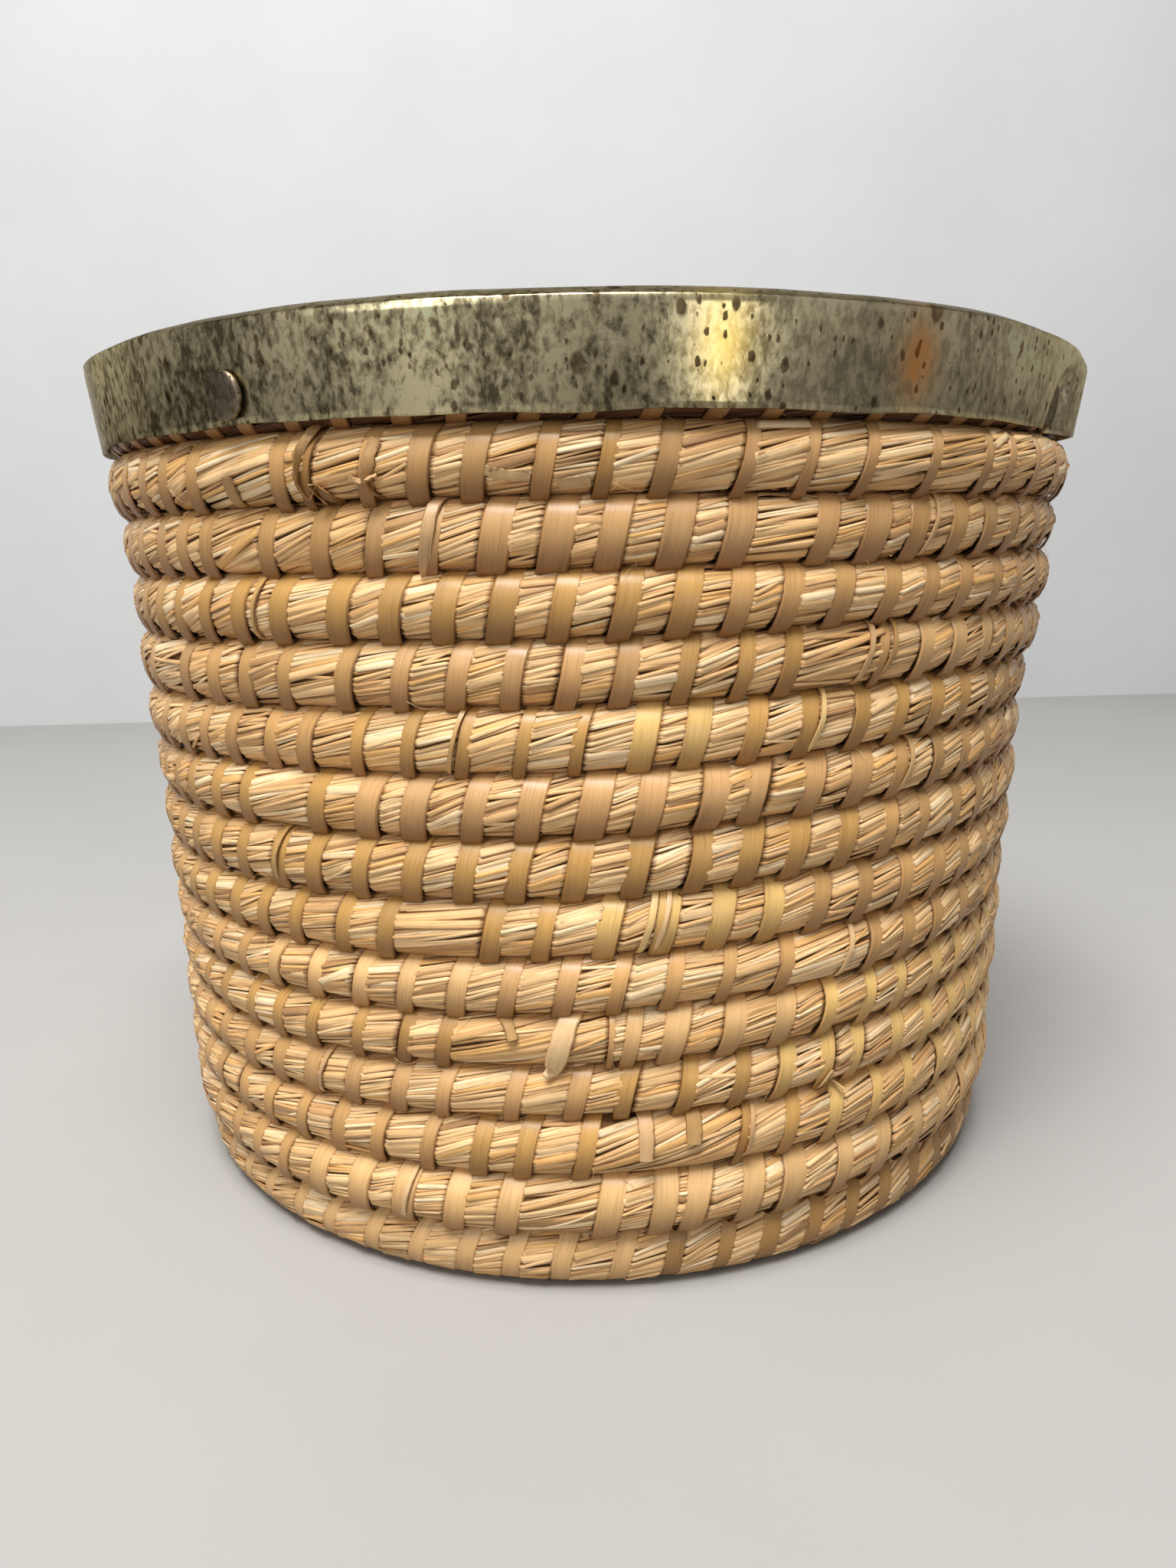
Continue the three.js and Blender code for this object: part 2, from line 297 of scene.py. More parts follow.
def plus(tree, a, b):
    """The sum of two shader values."""
    return maths(tree, "ADD", a, b)


def minus(tree, a, b):
    """One shader value less another."""
    return maths(tree, "SUBTRACT", a, b)


def clamped(tree, value):
    """A shader value kept from 0 to 1."""
    return node(tree, "Clamp", {0: value}).outputs[0]


def about_zero(tree, mask, strength):
    """A mask that lies about 0.5, moved to lie about 0 and scaled: (mask - 0.5) strength."""
    return times(tree, minus(tree, mask, 0.5), strength)


def noise(tree, place, scale, detail, roughness=0.5, distortion=0.0, output=0):
    """An output of a Noise Texture node: 0 is its value and 1 its colour."""
    settings = {"Scale": scale, "Detail": detail, "Roughness": roughness, "Distortion": distortion}
    return node(tree, "TexNoise", {"Vector": place, **settings}).outputs[output]


def mixed(tree, factor, a, b, blend="MIX"):
    """The output of a colour Mix node. Colours are given as four numbers or as a link."""
    return node(tree, "Mix", {0: factor, 6: a, 7: b}, data_type="RGBA", blend_type=blend).outputs[2]


def dimmed(tree, tone, share):
    """A colour multiplied by one value."""
    grey = node(tree, "CombineColor", {0: share, 1: share, 2: share}).outputs[0]
    return mixed(tree, 1.0, tone, grey, "MULTIPLY")


def new_material(name, roughness, **sockets):
    """An empty material with one Principled BSDF, whose plain sockets are set here."""
    material = bpy.data.materials.new(name)
    material.use_nodes = True
    tree = material.node_tree
    bsdf = tree.nodes["Principled BSDF"]
    bsdf.inputs["Roughness"].default_value = roughness
    for key, value in sockets.items():
        bsdf.inputs[key.replace("_", " ")].default_value = value
    return material, tree, bsdf


def joined_up(tree, bsdf, colour, rough, height, strength, depth):
    """Links a colour, a roughness and the height of a bump to the Principled BSDF."""
    relief = node(tree, "Bump", {"Height": height, "Strength": strength, "Distance": depth})
    for socket, value in (("Base Color", colour), ("Roughness", rough), ("Normal", relief.outputs[0])):
        tree.links.new(value, bsdf.inputs[socket])


def new_group(name, usual, results):
    """An empty node group with the named inputs, each at its usual value, and the named outputs. It gives
    the group, the sockets that hand on the inputs and the sockets that take the results."""
    group = bpy.data.node_groups.new(name, "ShaderNodeTree")
    for key, value in usual.items():
        group.interface.new_socket(key, in_out="INPUT", socket_type="NodeSocketFloat").default_value = value
    for key in results:
        group.interface.new_socket(key, in_out="OUTPUT", socket_type="NodeSocketFloat")
    return group, group.nodes.new("NodeGroupInput").outputs, group.nodes.new("NodeGroupOutput").inputs


def hand_out(group, sockets, **results):
    """Links the results of a group to the sockets that take them."""
    for key, value in results.items():
        group.links.new(value, sockets[key])


def fibre_grain():
    """The node group of plant fibre, for straw and cane: fine lines that run along the UV map's first axis,
    and slow blotches. Streak and Blotch are masks about 0.5, and Height is for a bump."""
    usual = {"Lines per metre": 4000.0, "Blotches per metre": 90.0}
    group, given, result = new_group("plant fibre grain", usual, ("Streak", "Blotch", "Height"))
    uv = node(group, "SeparateXYZ", {0: node(group, "UVMap", uv_map="UVMap").outputs[0]})
    lines = given["Lines per metre"]
    drawn_out = times(group, lines, 0.03)
    stretched = node(group, "CombineXYZ", {0: times(group, uv.outputs[0], drawn_out),
                                           1: times(group, uv.outputs[1], lines)}).outputs[0]
    streak = noise(group, stretched, 1.0, 3.0, 0.6)
    place = node(group, "TexCoord").outputs["Object"]
    blotch = noise(group, place, given["Blotches per metre"], 4.0, 0.55)
    height = plus(group, streak, times(group, blotch, 0.4))
    hand_out(group, result, Streak=streak, Blotch=blotch, Height=height)
    return group


grain_group = fibre_grain()


def fibre_material(name, lines, blotches, streak, blotch, crack, bump, roughness, **sockets):
    """A plant fibre finish: the tone attribute, darkened and lightened by streaks and blotches, with dark
    splits along it as strong as crack, and fine relief."""
    material, tree, bsdf = new_material(name, roughness, **sockets)
    grain = node(tree, "Group", {"Lines per metre": lines, "Blotches per metre": blotches},
                 node_tree=grain_group).outputs
    tone = node(tree, "Attribute", attribute_name="tone").outputs["Color"]
    uneven = plus(tree, about_zero(tree, grain["Streak"], streak), about_zero(tree, grain["Blotch"], blotch))
    shaded = dimmed(tree, tone, plus(tree, 1.0, uneven))
    split_from, split_to, in_split = 0.33, 0.44, (0.42, 0.32, 0.24, 1)
    split = node(tree, "MapRange", {0: grain["Streak"], 1: split_from, 2: split_to, 3: crack, 4: 0.0})
    colour = mixed(tree, split.outputs[0], shaded, mixed(tree, 1.0, shaded, in_split, "MULTIPLY"))
    rough = plus(tree, roughness - 0.1, times(tree, grain["Blotch"], 0.2))
    joined_up(tree, bsdf, colour, rough, grain["Height"], 0.6, bump)
    return material


straw_finish = fibre_material("golden straw", 3400, 150, 0.6, 0.4, 0.6, 0.12 * mm, 0.5,
                              Specular_IOR_Level=0.4)
heart_finish = fibre_material("shaded straw inside the bundle", 1500, 200, 1.6, 0.4, 1.0, 0.25 * mm, 0.8,
                              Specular_IOR_Level=0.1)

# Where the stitches bind the bundle: every 13 mm along it, give or take, with a few left out in the wall
stitch_spacing = 12.9 * mm
stitch_jitter = 1.1 * mm
stitches_left_out = 0.025
none_left_out_before = 1.2
bare_end = 6 * mm
fine_points = 24001
stitch_rng = np.random.default_rng(11)
fine_u = np.linspace(coil_start + 0.02, coil_end - 0.01, fine_points)
small_lengths = full_turn * coil_radius((fine_u[1:] + fine_u[:-1]) / 2) * np.diff(fine_u)
fine_length = np.concatenate([[0], np.cumsum(small_lengths)])
stitch_length = np.arange(bare_end, fine_length[-1] - bare_end, stitch_spacing)
stitch_length += stitch_rng.uniform(-stitch_jitter, stitch_jitter, len(stitch_length))
stitch_u = np.interp(stitch_length, fine_length, fine_u)
kept = (stitch_rng.random(len(stitch_u)) > stitches_left_out) | (stitch_u < none_left_out_before)
stitch_u = stitch_u[kept]
# In these rows the stitches that face the camera stand where they do on the basket, some of them far apart
placed_stitches = [
    [1.520, 1.537, 1.550, 1.569], [2.470, 2.487, 2.533, 2.549, 2.565],
    [3.467, 3.485, 3.500, 3.516, 3.533, 3.546, 3.563], [4.434, 4.447, 4.496, 4.501, 4.513],
    [10.426, 10.442, 10.457, 10.472, 10.485, 10.499, 10.515, 10.530],
    [11.426, 11.441, 11.455, 11.469, 11.484, 11.499, 11.514, 11.528],
    [12.380, 12.404, 12.422, 12.437, 12.453, 12.468, 12.483, 12.497, 12.512, 12.527],
    [13.365, 13.380, 13.413, 13.422, 13.438, 13.452, 13.465, 13.481, 13.495, 13.509, 13.528, 13.545, 13.561,
     13.582, 13.604, 13.615, 13.631]]
kept_clear = 0.009
for row in placed_stitches:
    stitch_u = stitch_u[(stitch_u < row[0] - kept_clear) | (stitch_u > row[-1] + kept_clear)]
stitch_u = np.sort(np.concatenate([stitch_u] + placed_stitches))
stitch_gap = np.diff(stitch_u, append=coil_end)
usual_gap = 0.0145
# The splints in the order they were used, by the turn at which each begins, its colour and its width in mm.
# The colours are the fresh cane's, and age has dulled them
cane_tan = (0.60, 0.365, 0.155)
cane_pink = (0.61, 0.375, 0.175)
cane_ochre = (0.56, 0.335, 0.115)
cane_brown = (0.44, 0.25, 0.085)
cane_pale = (0.76, 0.50, 0.245)
cane_yellow = (0.79, 0.54, 0.215)
splints = [(-9, cane_tan, 5.0), (-6.4, cane_ochre, 5.4), (-5.1, cane_pale, 5.0), (-3.7, cane_pink, 5.2),
           (-2.3, cane_ochre, 5.0), (-1.1, cane_tan, 5.2), (0.2, cane_pale, 4.4), (0.415, cane_pale, 5.6),
           (0.503, cane_brown, 5.2), (1.2, cane_tan, 5.0), (1.40, cane_pale, 6.8), (1.57, cane_pale, 5.6),
           (1.9, cane_ochre, 5.0), (2.25, cane_tan, 4.8), (2.46, cane_ochre, 4.9), (2.53, cane_brown, 2.8),
           (2.545, cane_ochre, 4.9), (2.56, cane_yellow, 4.8),
           (3.2, cane_tan, 5.2), (3.40, cane_pink, 5.0), (3.50, cane_ochre, 4.6), (3.545, cane_yellow, 4.8),
           (4.2, cane_ochre, 4.2), (4.43, cane_brown, 4.0), (4.485, cane_pink, 1.8), (4.505, cane_pale, 5.4),
           (4.515, cane_pale, 6.2),
           (4.56, cane_yellow, 5.0), (5.2, cane_tan, 4.8), (5.38, cane_pale, 5.2), (5.46, cane_pink, 4.9),
           (5.50, cane_tan, 4.4), (5.557, cane_yellow, 5.4), (5.58, cane_tan, 5.0), (6.2, cane_ochre, 5.2),
           (6.498, cane_yellow, 6.4), (6.56, cane_tan, 5.4), (7.2, cane_ochre, 5.8), (7.58, cane_tan, 4.8),
           (8.2, cane_ochre, 5.4), (8.43, cane_pink, 6.8), (8.58, cane_tan, 5.2), (9.2, cane_tan, 5.2),
           (9.42, cane_ochre, 3.8), (9.497, cane_yellow, 6.2), (9.54, cane_ochre, 5.6), (10.2, cane_tan, 5.8),
           (10.44, cane_pink, 5.2), (10.52, cane_ochre, 4.6), (10.56, cane_pink, 3.4),
           (10.585, cane_pale, 6.4),
           (11.2, cane_ochre, 6.2), (11.40, cane_ochre, 6.6), (11.53, cane_tan, 5.6), (12.2, cane_tan, 5.6),
           (12.44, cane_pink, 5.0), (12.455, cane_pink, 3.4), (12.47, cane_pink, 7.2), (12.58, cane_tan, 6.0),
           (13.2, cane_tan, 5.6), (13.425, cane_brown, 3.0), (13.44, cane_tan, 4.6), (13.455, cane_tan, 6.2),
           (13.48, cane_tan, 4.6), (13.50, cane_ochre, 3.4), (13.51, cane_tan, 4.6), (13.533, cane_pink, 3.6),
           (14.1, cane_pink, 5.2)]
half_a_gap = 0.007
dulled = [0.94, 0.85, 0.70]
width_spread, tone_spread, slant_spread = 0.07, 0.05, 0.10
splint_rng = np.random.default_rng(23)
which = np.searchsorted([s[0] for s in splints], stitch_u + half_a_gap) - 1
stitch_width = np.array([s[2] for s in splints])[which]
stitch_width = stitch_width * splint_rng.normal(1, width_spread, len(stitch_u)) * mm
stitch_tone = np.array([s[1] for s in splints])[which]
stitch_tone = stitch_tone * splint_rng.normal(1, tone_spread, (len(stitch_u), 1)) * dulled
stitch_slant = splint_rng.normal(0, slant_spread, len(stitch_u))
lean_share = 0.40


def bind_angle(u):
    """The angle in the bundle's section that faces the turn it is sewn to: half a turn, which is inwards,
    in the base, and three quarters, which is down, in the wall."""
    step, done = step_at(u)
    return np.where(step < 1, np.pi, np.where(step > 1, 1.5 * np.pi, np.pi + 0.5 * np.pi * done))


def stitches_between(start, end):
    """The first and the last stitch of a length of bundle."""
    first, last = np.searchsorted(stitch_u[:-1], [start, end])
    return first, min(last, len(stitch_u) - 1)


def loop_at(stitch, tau):
    """The turn at which a stitch's splint is when it has gone tau, from 0 to 1, round the bundle. Over the
    outer face it leans a little towards the next stitch, and it goes the rest of the way on the slant
    inside."""
    gap = stitch_gap[stitch]
    lean = lean_share * np.minimum(gap, usual_gap)
    return stitch_u[stitch] + np.where(tau < 0.5, 2 * lean * tau, lean + 2 * (gap - lean) * (tau - 0.5))


# The straws that show between two stitches, on the outer and on the inner face, as stiff straight slivers
# that dive under the splints. The rope is twisted, so they rise to the right outside, and a few stray
twist = math.radians(12)
twist_spread = math.radians(3.5)
straw_spread = math.radians(1.9)
stray_spread = math.radians(7)
strays = 0.09
long_span = 19 * mm
short_span_rings, long_span_rings = 2, 9
splint_covers = (0.03, 0.42)
tucked_under = 1.0 * mm
clear_of_splint = 0.2 * mm
pinch = 0.93
straw_widths, width_shares = [0.46, 0.66, 1.15], [0.36, 0.42, 0.22]
width_range = (0.85, 1.2)
flatness = 0.7
thickest_straw = 0.42 * mm
end_width = 0.9
# How the straws scatter: round the bundle by a share of their step, in depth, by a middle and a spread in mm,
# and in the slope of their tops
straw_scatter = 0.17
straw_depth = (-0.12, 0.14)
stray_rise = 0.25
end_dip = 0.12
top_slope = 0.2
# A straw's section by its number of sides: how far its points lie across, and above, which way its top
# leans, and how light they are, darker at the edges as painted shade between straws
straw_sections = {4: ([1, 0.62, -0.62, -1], [0, 1, 1, 0], [0, 1, -1, 0], [0.42, 1.0, 1.05, 0.42]),
                  3: ([1, 0, -1], [0, 1, 0], [0, 0, 0], [0.5, 1.05, 0.5])}
straw_colours = np.array([(0.89, 0.59, 0.29), (0.80, 0.49, 0.215), (0.68, 0.39, 0.16), (0.80, 0.45, 0.155),
                          (0.94, 0.70, 0.41), (0.46, 0.25, 0.10)])
straw_shares = np.array([0.31, 0.29, 0.15, 0.09, 0.12, 0.04])
straw_tone_range = (0.86, 1.10)
# Here and there along the rope the straw is more orange, where this wandering value is high
straw_orange = np.array([0.78, 0.43, 0.145])
orange_from, orange_growth, most_orange = 0.5, 0.7, 0.6
# Painted shade: how much light is left on the straws' ends under the splints, how much is taken off low in a
# groove, and how much is left in the shadow under the brass
end_light = 0.25
groove_shade = 0.35
light_under_brass = 0.15


def shade(amount):
    """A darkening that leaves the darkest places reddest, as light between straws is coloured by them."""
    return np.stack([amount, amount ** 1.3, amount ** 1.7], -1)


def straws_between(first, last, arcs, seed):
    """Strands for the spans between stitches first to last. For each arc (low and high angle in degrees,
    straws, sides) the straws are spread evenly with some scatter. Where a straw shows it lies on the skin,
    straight, at its own depth and slant, and its ends dive in just under the splints' edges. It returns a
    list of (points, tone, along, around)."""
    rng = np.random.default_rng(seed)
    spans = np.arange(first, last)
    long_ones = stitch_gap[spans] * full_turn * coil_radius(stitch_u[spans]) > long_span
    kinds = [(spans[~long_ones], short_span_rings), (spans[long_ones], long_span_rings)]
    return [strand for some, rings in kinds if len(some) for strand in straws_in(some, rings, arcs, rng)]


def straws_in(spans, free_rings, arcs, rng):
    """The strands of straws_between for some of the spans, with so many rings where a straw lies free."""
    gap_length = stitch_gap[spans] * full_turn * coil_radius(stitch_u[spans])
    near_edge = np.clip(0.5 * stitch_width[spans] / gap_length, *splint_covers)
    far_edge = 1 - np.clip(0.5 * stitch_width[spans + 1] / gap_length, *splint_covers)
    tucked, clear = tucked_under / gap_length, clear_of_splint / gap_length
    strands = []
    for low, high, count, sides in arcs:
        # Along a straw: an end under a splint, the places where it lies free, and the other end
        shown = np.array([0] + [1] * free_rings + [0])
        free = np.linspace(near_edge + clear, far_edge - clear, free_rings, axis=-1)
        under = (near_edge - tucked)[:, None], (far_edge + tucked)[:, None]
        x = np.concatenate([under[0], free, under[1]], -1)[:, None, :]
        shape = (len(spans), count)
        step = (np.radians(high) - np.radians(low)) / count
        middle = np.radians(low) + step * (np.arange(count) + 0.5)
        middle = middle + rng.normal(0, straw_scatter * step, shape)
        strayed = rng.random(shape) < strays
        slant = rng.normal(twist, twist_spread, (len(spans), 1)) + rng.normal(0, straw_spread, shape)
        slant = slant + strayed * rng.normal(0, stray_spread, shape)
        turned = np.tan(slant) * gap_length[:, None] / (0.5 * bundle_width)
        phi = middle[..., None] + turned[..., None] * (x - 0.5)
        tau = ((phi - bind_angle(stitch_u[spans])[:, None, None]) / full_turn) % 1
        u = (1 - x) * loop_at(spans[:, None, None], tau) + x * loop_at(spans[:, None, None] + 1, tau)
        u = np.minimum(u, coil_end - 0.002)
        width = rng.choice(straw_widths, shape, p=width_shares) * rng.uniform(*width_range, shape) * mm
        width = width * step / straw_step
        thick = np.minimum(width * flatness, thickest_straw)
        depth = (rng.normal(*straw_depth, shape) + stray_rise * strayed)[..., None] * mm * shown
        depth = depth + rng.normal(0, end_dip, shape)[..., None] * mm * shown * (x - 0.5) * 2
        centre, normal = on_bundle(u, phi, pinch + (1 - pinch) * shown, depth)
        side, normal = across_and_out(centre, normal)
        taper = end_width + (1 - end_width) * shown
        w = (width[..., None] * taper)[..., None, None]
        h = (thick[..., None] * taper)[..., None, None]
        slope = rng.normal(0, top_slope, shape)[..., None, None, None]
        across, above, leaning, light = np.array(straw_sections[sides])[..., None]
        ring = (centre[..., None, :] + side[..., None, :] * w * across
                + normal[..., None, :] * h * (above * (1 + slope * leaning)))
        tone = straw_colours[rng.choice(len(straw_colours), shape, p=straw_shares)]
        tone = tone * rng.uniform(*straw_tone_range, shape)[..., None]
        patch = wander(stitch_u[spans] * 2.3, 77, (1.1, 2.3, 4.7, 9.1))[:, None, None]
        orange = most_orange * smooth((patch - orange_from) / orange_growth)
        tone = tone * (1 - orange) + straw_orange * orange
        # Painted shade: the ends under the splints, the straws low in a groove and those under the brass are
        # darker, and a straw's edges are darker than its top, as shade between straws
        in_groove = smooth((np.abs(np.sin(phi)) - 0.75) / 0.25)
        painted_shade = (end_light + (1 - end_light) * shown) * (1 - groove_shade * in_groove)
        painted_shade = painted_shade * np.where(stitch_u[spans] > open_rows, light_under_brass, 1)[:, None, None]
        tone = tone[:, :, None, None, :] * shade(painted_shade)[..., None, :] * shade(light[:, 0])
        along = rng.uniform(0, 3, shape)[..., None] + x * gap_length[:, None, None]
        around = across[:, 0] * width[..., None, None] + rng.uniform(0, 1, shape)[..., None, None]
        strands.append([a.reshape((-1,) + a.shape[2:]) for a in (ring, tone, along[..., None], around)])
    return strands


# The heart's dark colour is painted shade between the straws, and under the brass painted shadow darkens it
# further
heart_share = 0.94
heart_sides = 18
heart_rings = 190
heart_shade_colour = np.array([0.22, 0.115, 0.045])
heart_shadow_under_brass = 0.3


def heart_of_bundle(name, start, end):
    """The straw that fills the bundle, seen only through the gaps, coloured dark as painted shade and darker
    still as painted shadow under the brass: its section a little shrunk, swept from start to end as one
    closed tube."""
    rings = max(8, int((end - start) * heart_rings))
    u = np.linspace(start, end, rings)[:, None]
    phi = (np.arange(heart_sides) / heart_sides * full_turn)[None, :]
    points, _ = on_bundle(*np.broadcast_arrays(u, phi), heart_share)
    # Seen from the far end the section runs clockwise from radius to height, so it is turned round
    points = points[:, ::-1]
    # Painted shade, darker still in the brass's shadow
    tone = heart_shade_colour * (heart_shadow_under_brass if start > open_rows - 1 else 1)
    along = (u * full_turn * coil_radius(u))[None]
    around = phi[None] * bundle_width / 2 - along * math.tan(twist)
    return strand_mesh(name, points[None], tone, along, around, heart_finish)


def join_pieces(name, pieces):
    """One object from several, keeping their tone and UV map."""
    bpy.ops.object.select_all(action="DESELECT")
    for piece in pieces:
        piece.select_set(True)
    bpy.context.view_layer.objects.active = pieces[0]
    bpy.ops.object.join()
    pieces[0].name = name
    pieces[0].data.name = name
    return pieces[0]


# Arcs of the bundle's section that hold straws: from and to in degrees, how many straws, and their sides
wall_arcs = [(-86, 88, 27, 4), (95, 265, 16, 3)]
base_arcs = [(4, 176, 16, 3), (184, 356, 16, 3)]
foot_arcs = [(-150, 86, 34, 4), (88, 175, 7, 3)]
hidden_arcs = [(-80, 80, 12, 3), (100, 260, 12, 3)]
straw_step = np.radians(174) / 27

# Each length of bundle in the CAD model is one piece here. The base's is made in three
row_begins, row_ends = -0.217, 0.783
turn_bounds = [(coil_start, -2.217, base_arcs, "straw_base_heart", "base_coil"),
               (-2.217, row_begins, base_arcs, "straw_base_outer", "base_coil"),
               (row_begins, row_ends, foot_arcs, "straw_foot_row", "base_coil")]
turn_bounds += [(k + row_begins, k + row_ends, wall_arcs, f"straw_row_{k:02d}", f"wall_coil_{k:02d}")
                for k in range(1, 15)]
turn_bounds += [(15 + row_begins, coil_end, hidden_arcs, "straw_row_15", "wall_coil_15")]
for start, end, arcs, name, solid in turn_bounds:
    first, last = stitches_between(start, end)
    parts = straws_between(first, last, arcs, 100 + first)
    pieces = [heart_of_bundle(name, start, end)]
    pieces += [strand_mesh(name + "_straws", *part, straw_finish) for part in parts]
    row = join_pieces(name, pieces)
    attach(row, "root")
    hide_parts(solid)


# The stitches. Flat cane splints, split to about 5 mm wide, are wound over the bundle without a break. At
# each stitch the splint is pushed through the top of the row below and pulled tight.
splint_thickness = 0.55 * mm
splint_lift = 0.2 * mm
pulled_in = 0.95
bite = 2.6 * mm
slight_bite = 0.3
slight_within = 20 * mm
slight_from = 14.3
narrow_within = 34 * mm
lowest_middle = 0.62 * mm
loop_steps = 22
crisp_edge = math.radians(28)
squeezed = 0.12
# Painted shade darkens a splint at its edges and where it goes into the row below, and a painted highlight
# lightens it on top of the bundle
splint_light = np.array([0.55, 0.97, 1.04, 0.97, 0.55])
hole_shade, hole_power = 0.55, 2.2
top_light = 0.16
splint_finish = fibre_material("cane splint", 2400, 90, 0.45, 0.30, 0.25, 0.05 * mm, 0.38,
                               Specular_IOR_Level=0.55)


def ribbon(centre, normal, width, thickness):
    """Rings of a flat splint along centre, an array of runs of points: a shallow dome with bevelled edges,
    five points round. The normal is the way its skin faces."""
    side, normal = across_and_out(centre, normal)
    across = np.array([0.5, 0.42, 0.0, -0.42, -0.5])
    rise = np.array([0.0, 0.86, 1.0, 0.86, 0.0])
    w = width[..., None, None]
    t = thickness[..., None, None]
    return (centre[..., None, :] + side[..., None, :] * w * across[:, None]
            + normal[..., None, :] * t * rise[:, None]), w[..., 0] * across


def distance_along(centre):
    """How far along a line each of its points is: the running sum of the lengths between them."""
    return np.concatenate([[0], np.cumsum(np.linalg.norm(np.diff(centre, axis=0), axis=1))])


for start, end, arcs, name, solid in turn_bounds:
    first, last = stitches_between(start, end)
    turns = np.arange((last - first) * loop_steps + 1) / loop_steps
    loop = np.minimum(turns.astype(int), last - first - 1)
    tau = turns - loop
    here = first + loop
    ahead = np.minimum(here + 1, len(stitch_u) - 1)
    slant = stitch_slant[here] * usual_gap * np.sin(full_turn * tau) * 0.5
    u = np.minimum(loop_at(here, tau) + slant, coil_end - 0.001)
    phi = bind_angle(u) + full_turn * tau
    toward = np.maximum(np.cos(full_turn * tau), 0)
    sink = bite * toward ** 3 * np.where(coil_radius(u) > slight_within, 1, slight_bite)
    sink = np.where(stitch_u[here] > slight_from, sink * slight_bite, sink)
    centre, normal = on_bundle(u, phi, pulled_in, splint_lift + sink)
    centre[:, 2] = np.maximum(centre[:, 2], lowest_middle)
    blend = smooth((tau - 0.5) / 0.5)
    width = stitch_width[here] * (1 - blend) + stitch_width[ahead] * blend
    width = width * np.minimum(1, coil_radius(u) / narrow_within) * (1 - squeezed * toward)
    rings, across = ribbon(centre, normal, width, np.full(len(u), splint_thickness))
    tone = (stitch_tone[here] * (1 - blend[:, None]) + stitch_tone[ahead] * blend[:, None])[:, None, :]
    # Painted shade where the splint goes into the row below, and a painted highlight on top of the bundle
    splint_painted_light = (1 - hole_shade * toward ** hole_power) * (1 + top_light * np.sin(phi))
    tone = tone * shade(splint_light) * shade(splint_painted_light)[:, None, :]
    row = strand_mesh(name.replace("straw", "splint"), rings[None], tone[None],
                      distance_along(centre)[None, :, None], across[None], splint_finish, crisp_edge)
    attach(row, "root")


# Loose ends. Where a splint ran out its end was left standing and a new one was begun beside it. Other
# splints have twisted or split, and thin fibres of straw have sprung out of the grooves.
strip_rings = 15
strip_thickness = 0.4 * mm
strip_taper = 0.15
strip_width_spread = 0.05
# A loose strip is darker at its edges, as painted shade, as a splint is
strip_light = np.array([0.6, 0.97, 1.04, 0.97, 0.6])
fibre_rings = 7
loose_rng = np.random.default_rng(41)


def through(values, t):
    """A smooth curve through rows of values, read at t, where 1 is one value on: a Catmull-Rom spline."""
    ends = np.concatenate([2 * values[:1] - values[1:2], values, 2 * values[-1:] - values[-2:-1]])
    k = np.minimum(t.astype(int), len(values) - 2)
    s = (t - k)[:, None]
    a, b, c, d = ends[k], ends[k + 1], ends[k + 2], ends[k + 3]
    return b + 0.5 * s * (c - a + s * (2 * a - 5 * b + 4 * c - d + s * (3 * (b - c) + d - a)))


def loose_strip(width, tone, twist, crumple, places):
    """A strip of cane through places, each a turn, degrees round the section and mm above the skin. It is
    twisted by so many turns on its way, tapers a little, and its skin is crumpled by so many mm."""
    turn, degrees_round, lift = np.array(places).T
    points, facing = on_bundle(turn, np.radians(degrees_round), 1.0, lift * mm)
    t = np.linspace(0, len(places) - 1, strip_rings)
    centre, facing = through(points, t), unit(through(facing, t))
    side, _ = across_and_out(centre, facing)
    roll = (twist * full_turn * smooth(t / t[-1]))[:, None]
    widths = width * mm * (1 - strip_taper * (t / t[-1]) ** 3)
    widths = widths * loose_rng.normal(1, strip_width_spread, strip_rings)
    rings, across = ribbon(centre, facing * np.cos(roll) + side * np.sin(roll), widths,
                           np.full(strip_rings, strip_thickness))
    rings = rings + loose_rng.normal(0, crumple * mm, rings.shape)
    return rings, (np.array(tone) * shade(strip_light))[None], distance_along(centre)[:, None], across


def split_beside(turn, width, tone):
    """A strip split from a splint, which follows the stitches' lean from one groove to the other."""
    lean = lean_share * usual_gap
    places = [(turn + lean * (0.5 + 0.5 * math.sin(math.radians(a))), a, rise)
              for a, rise in ((86, 0.2), (50, 0.9), (5, 1.0), (-45, 0.9), (-84, 0.2))]
    return loose_strip(width, tone, 0.0, 0.05, places)


torn_straw = (0.58, 0.36, 0.16)
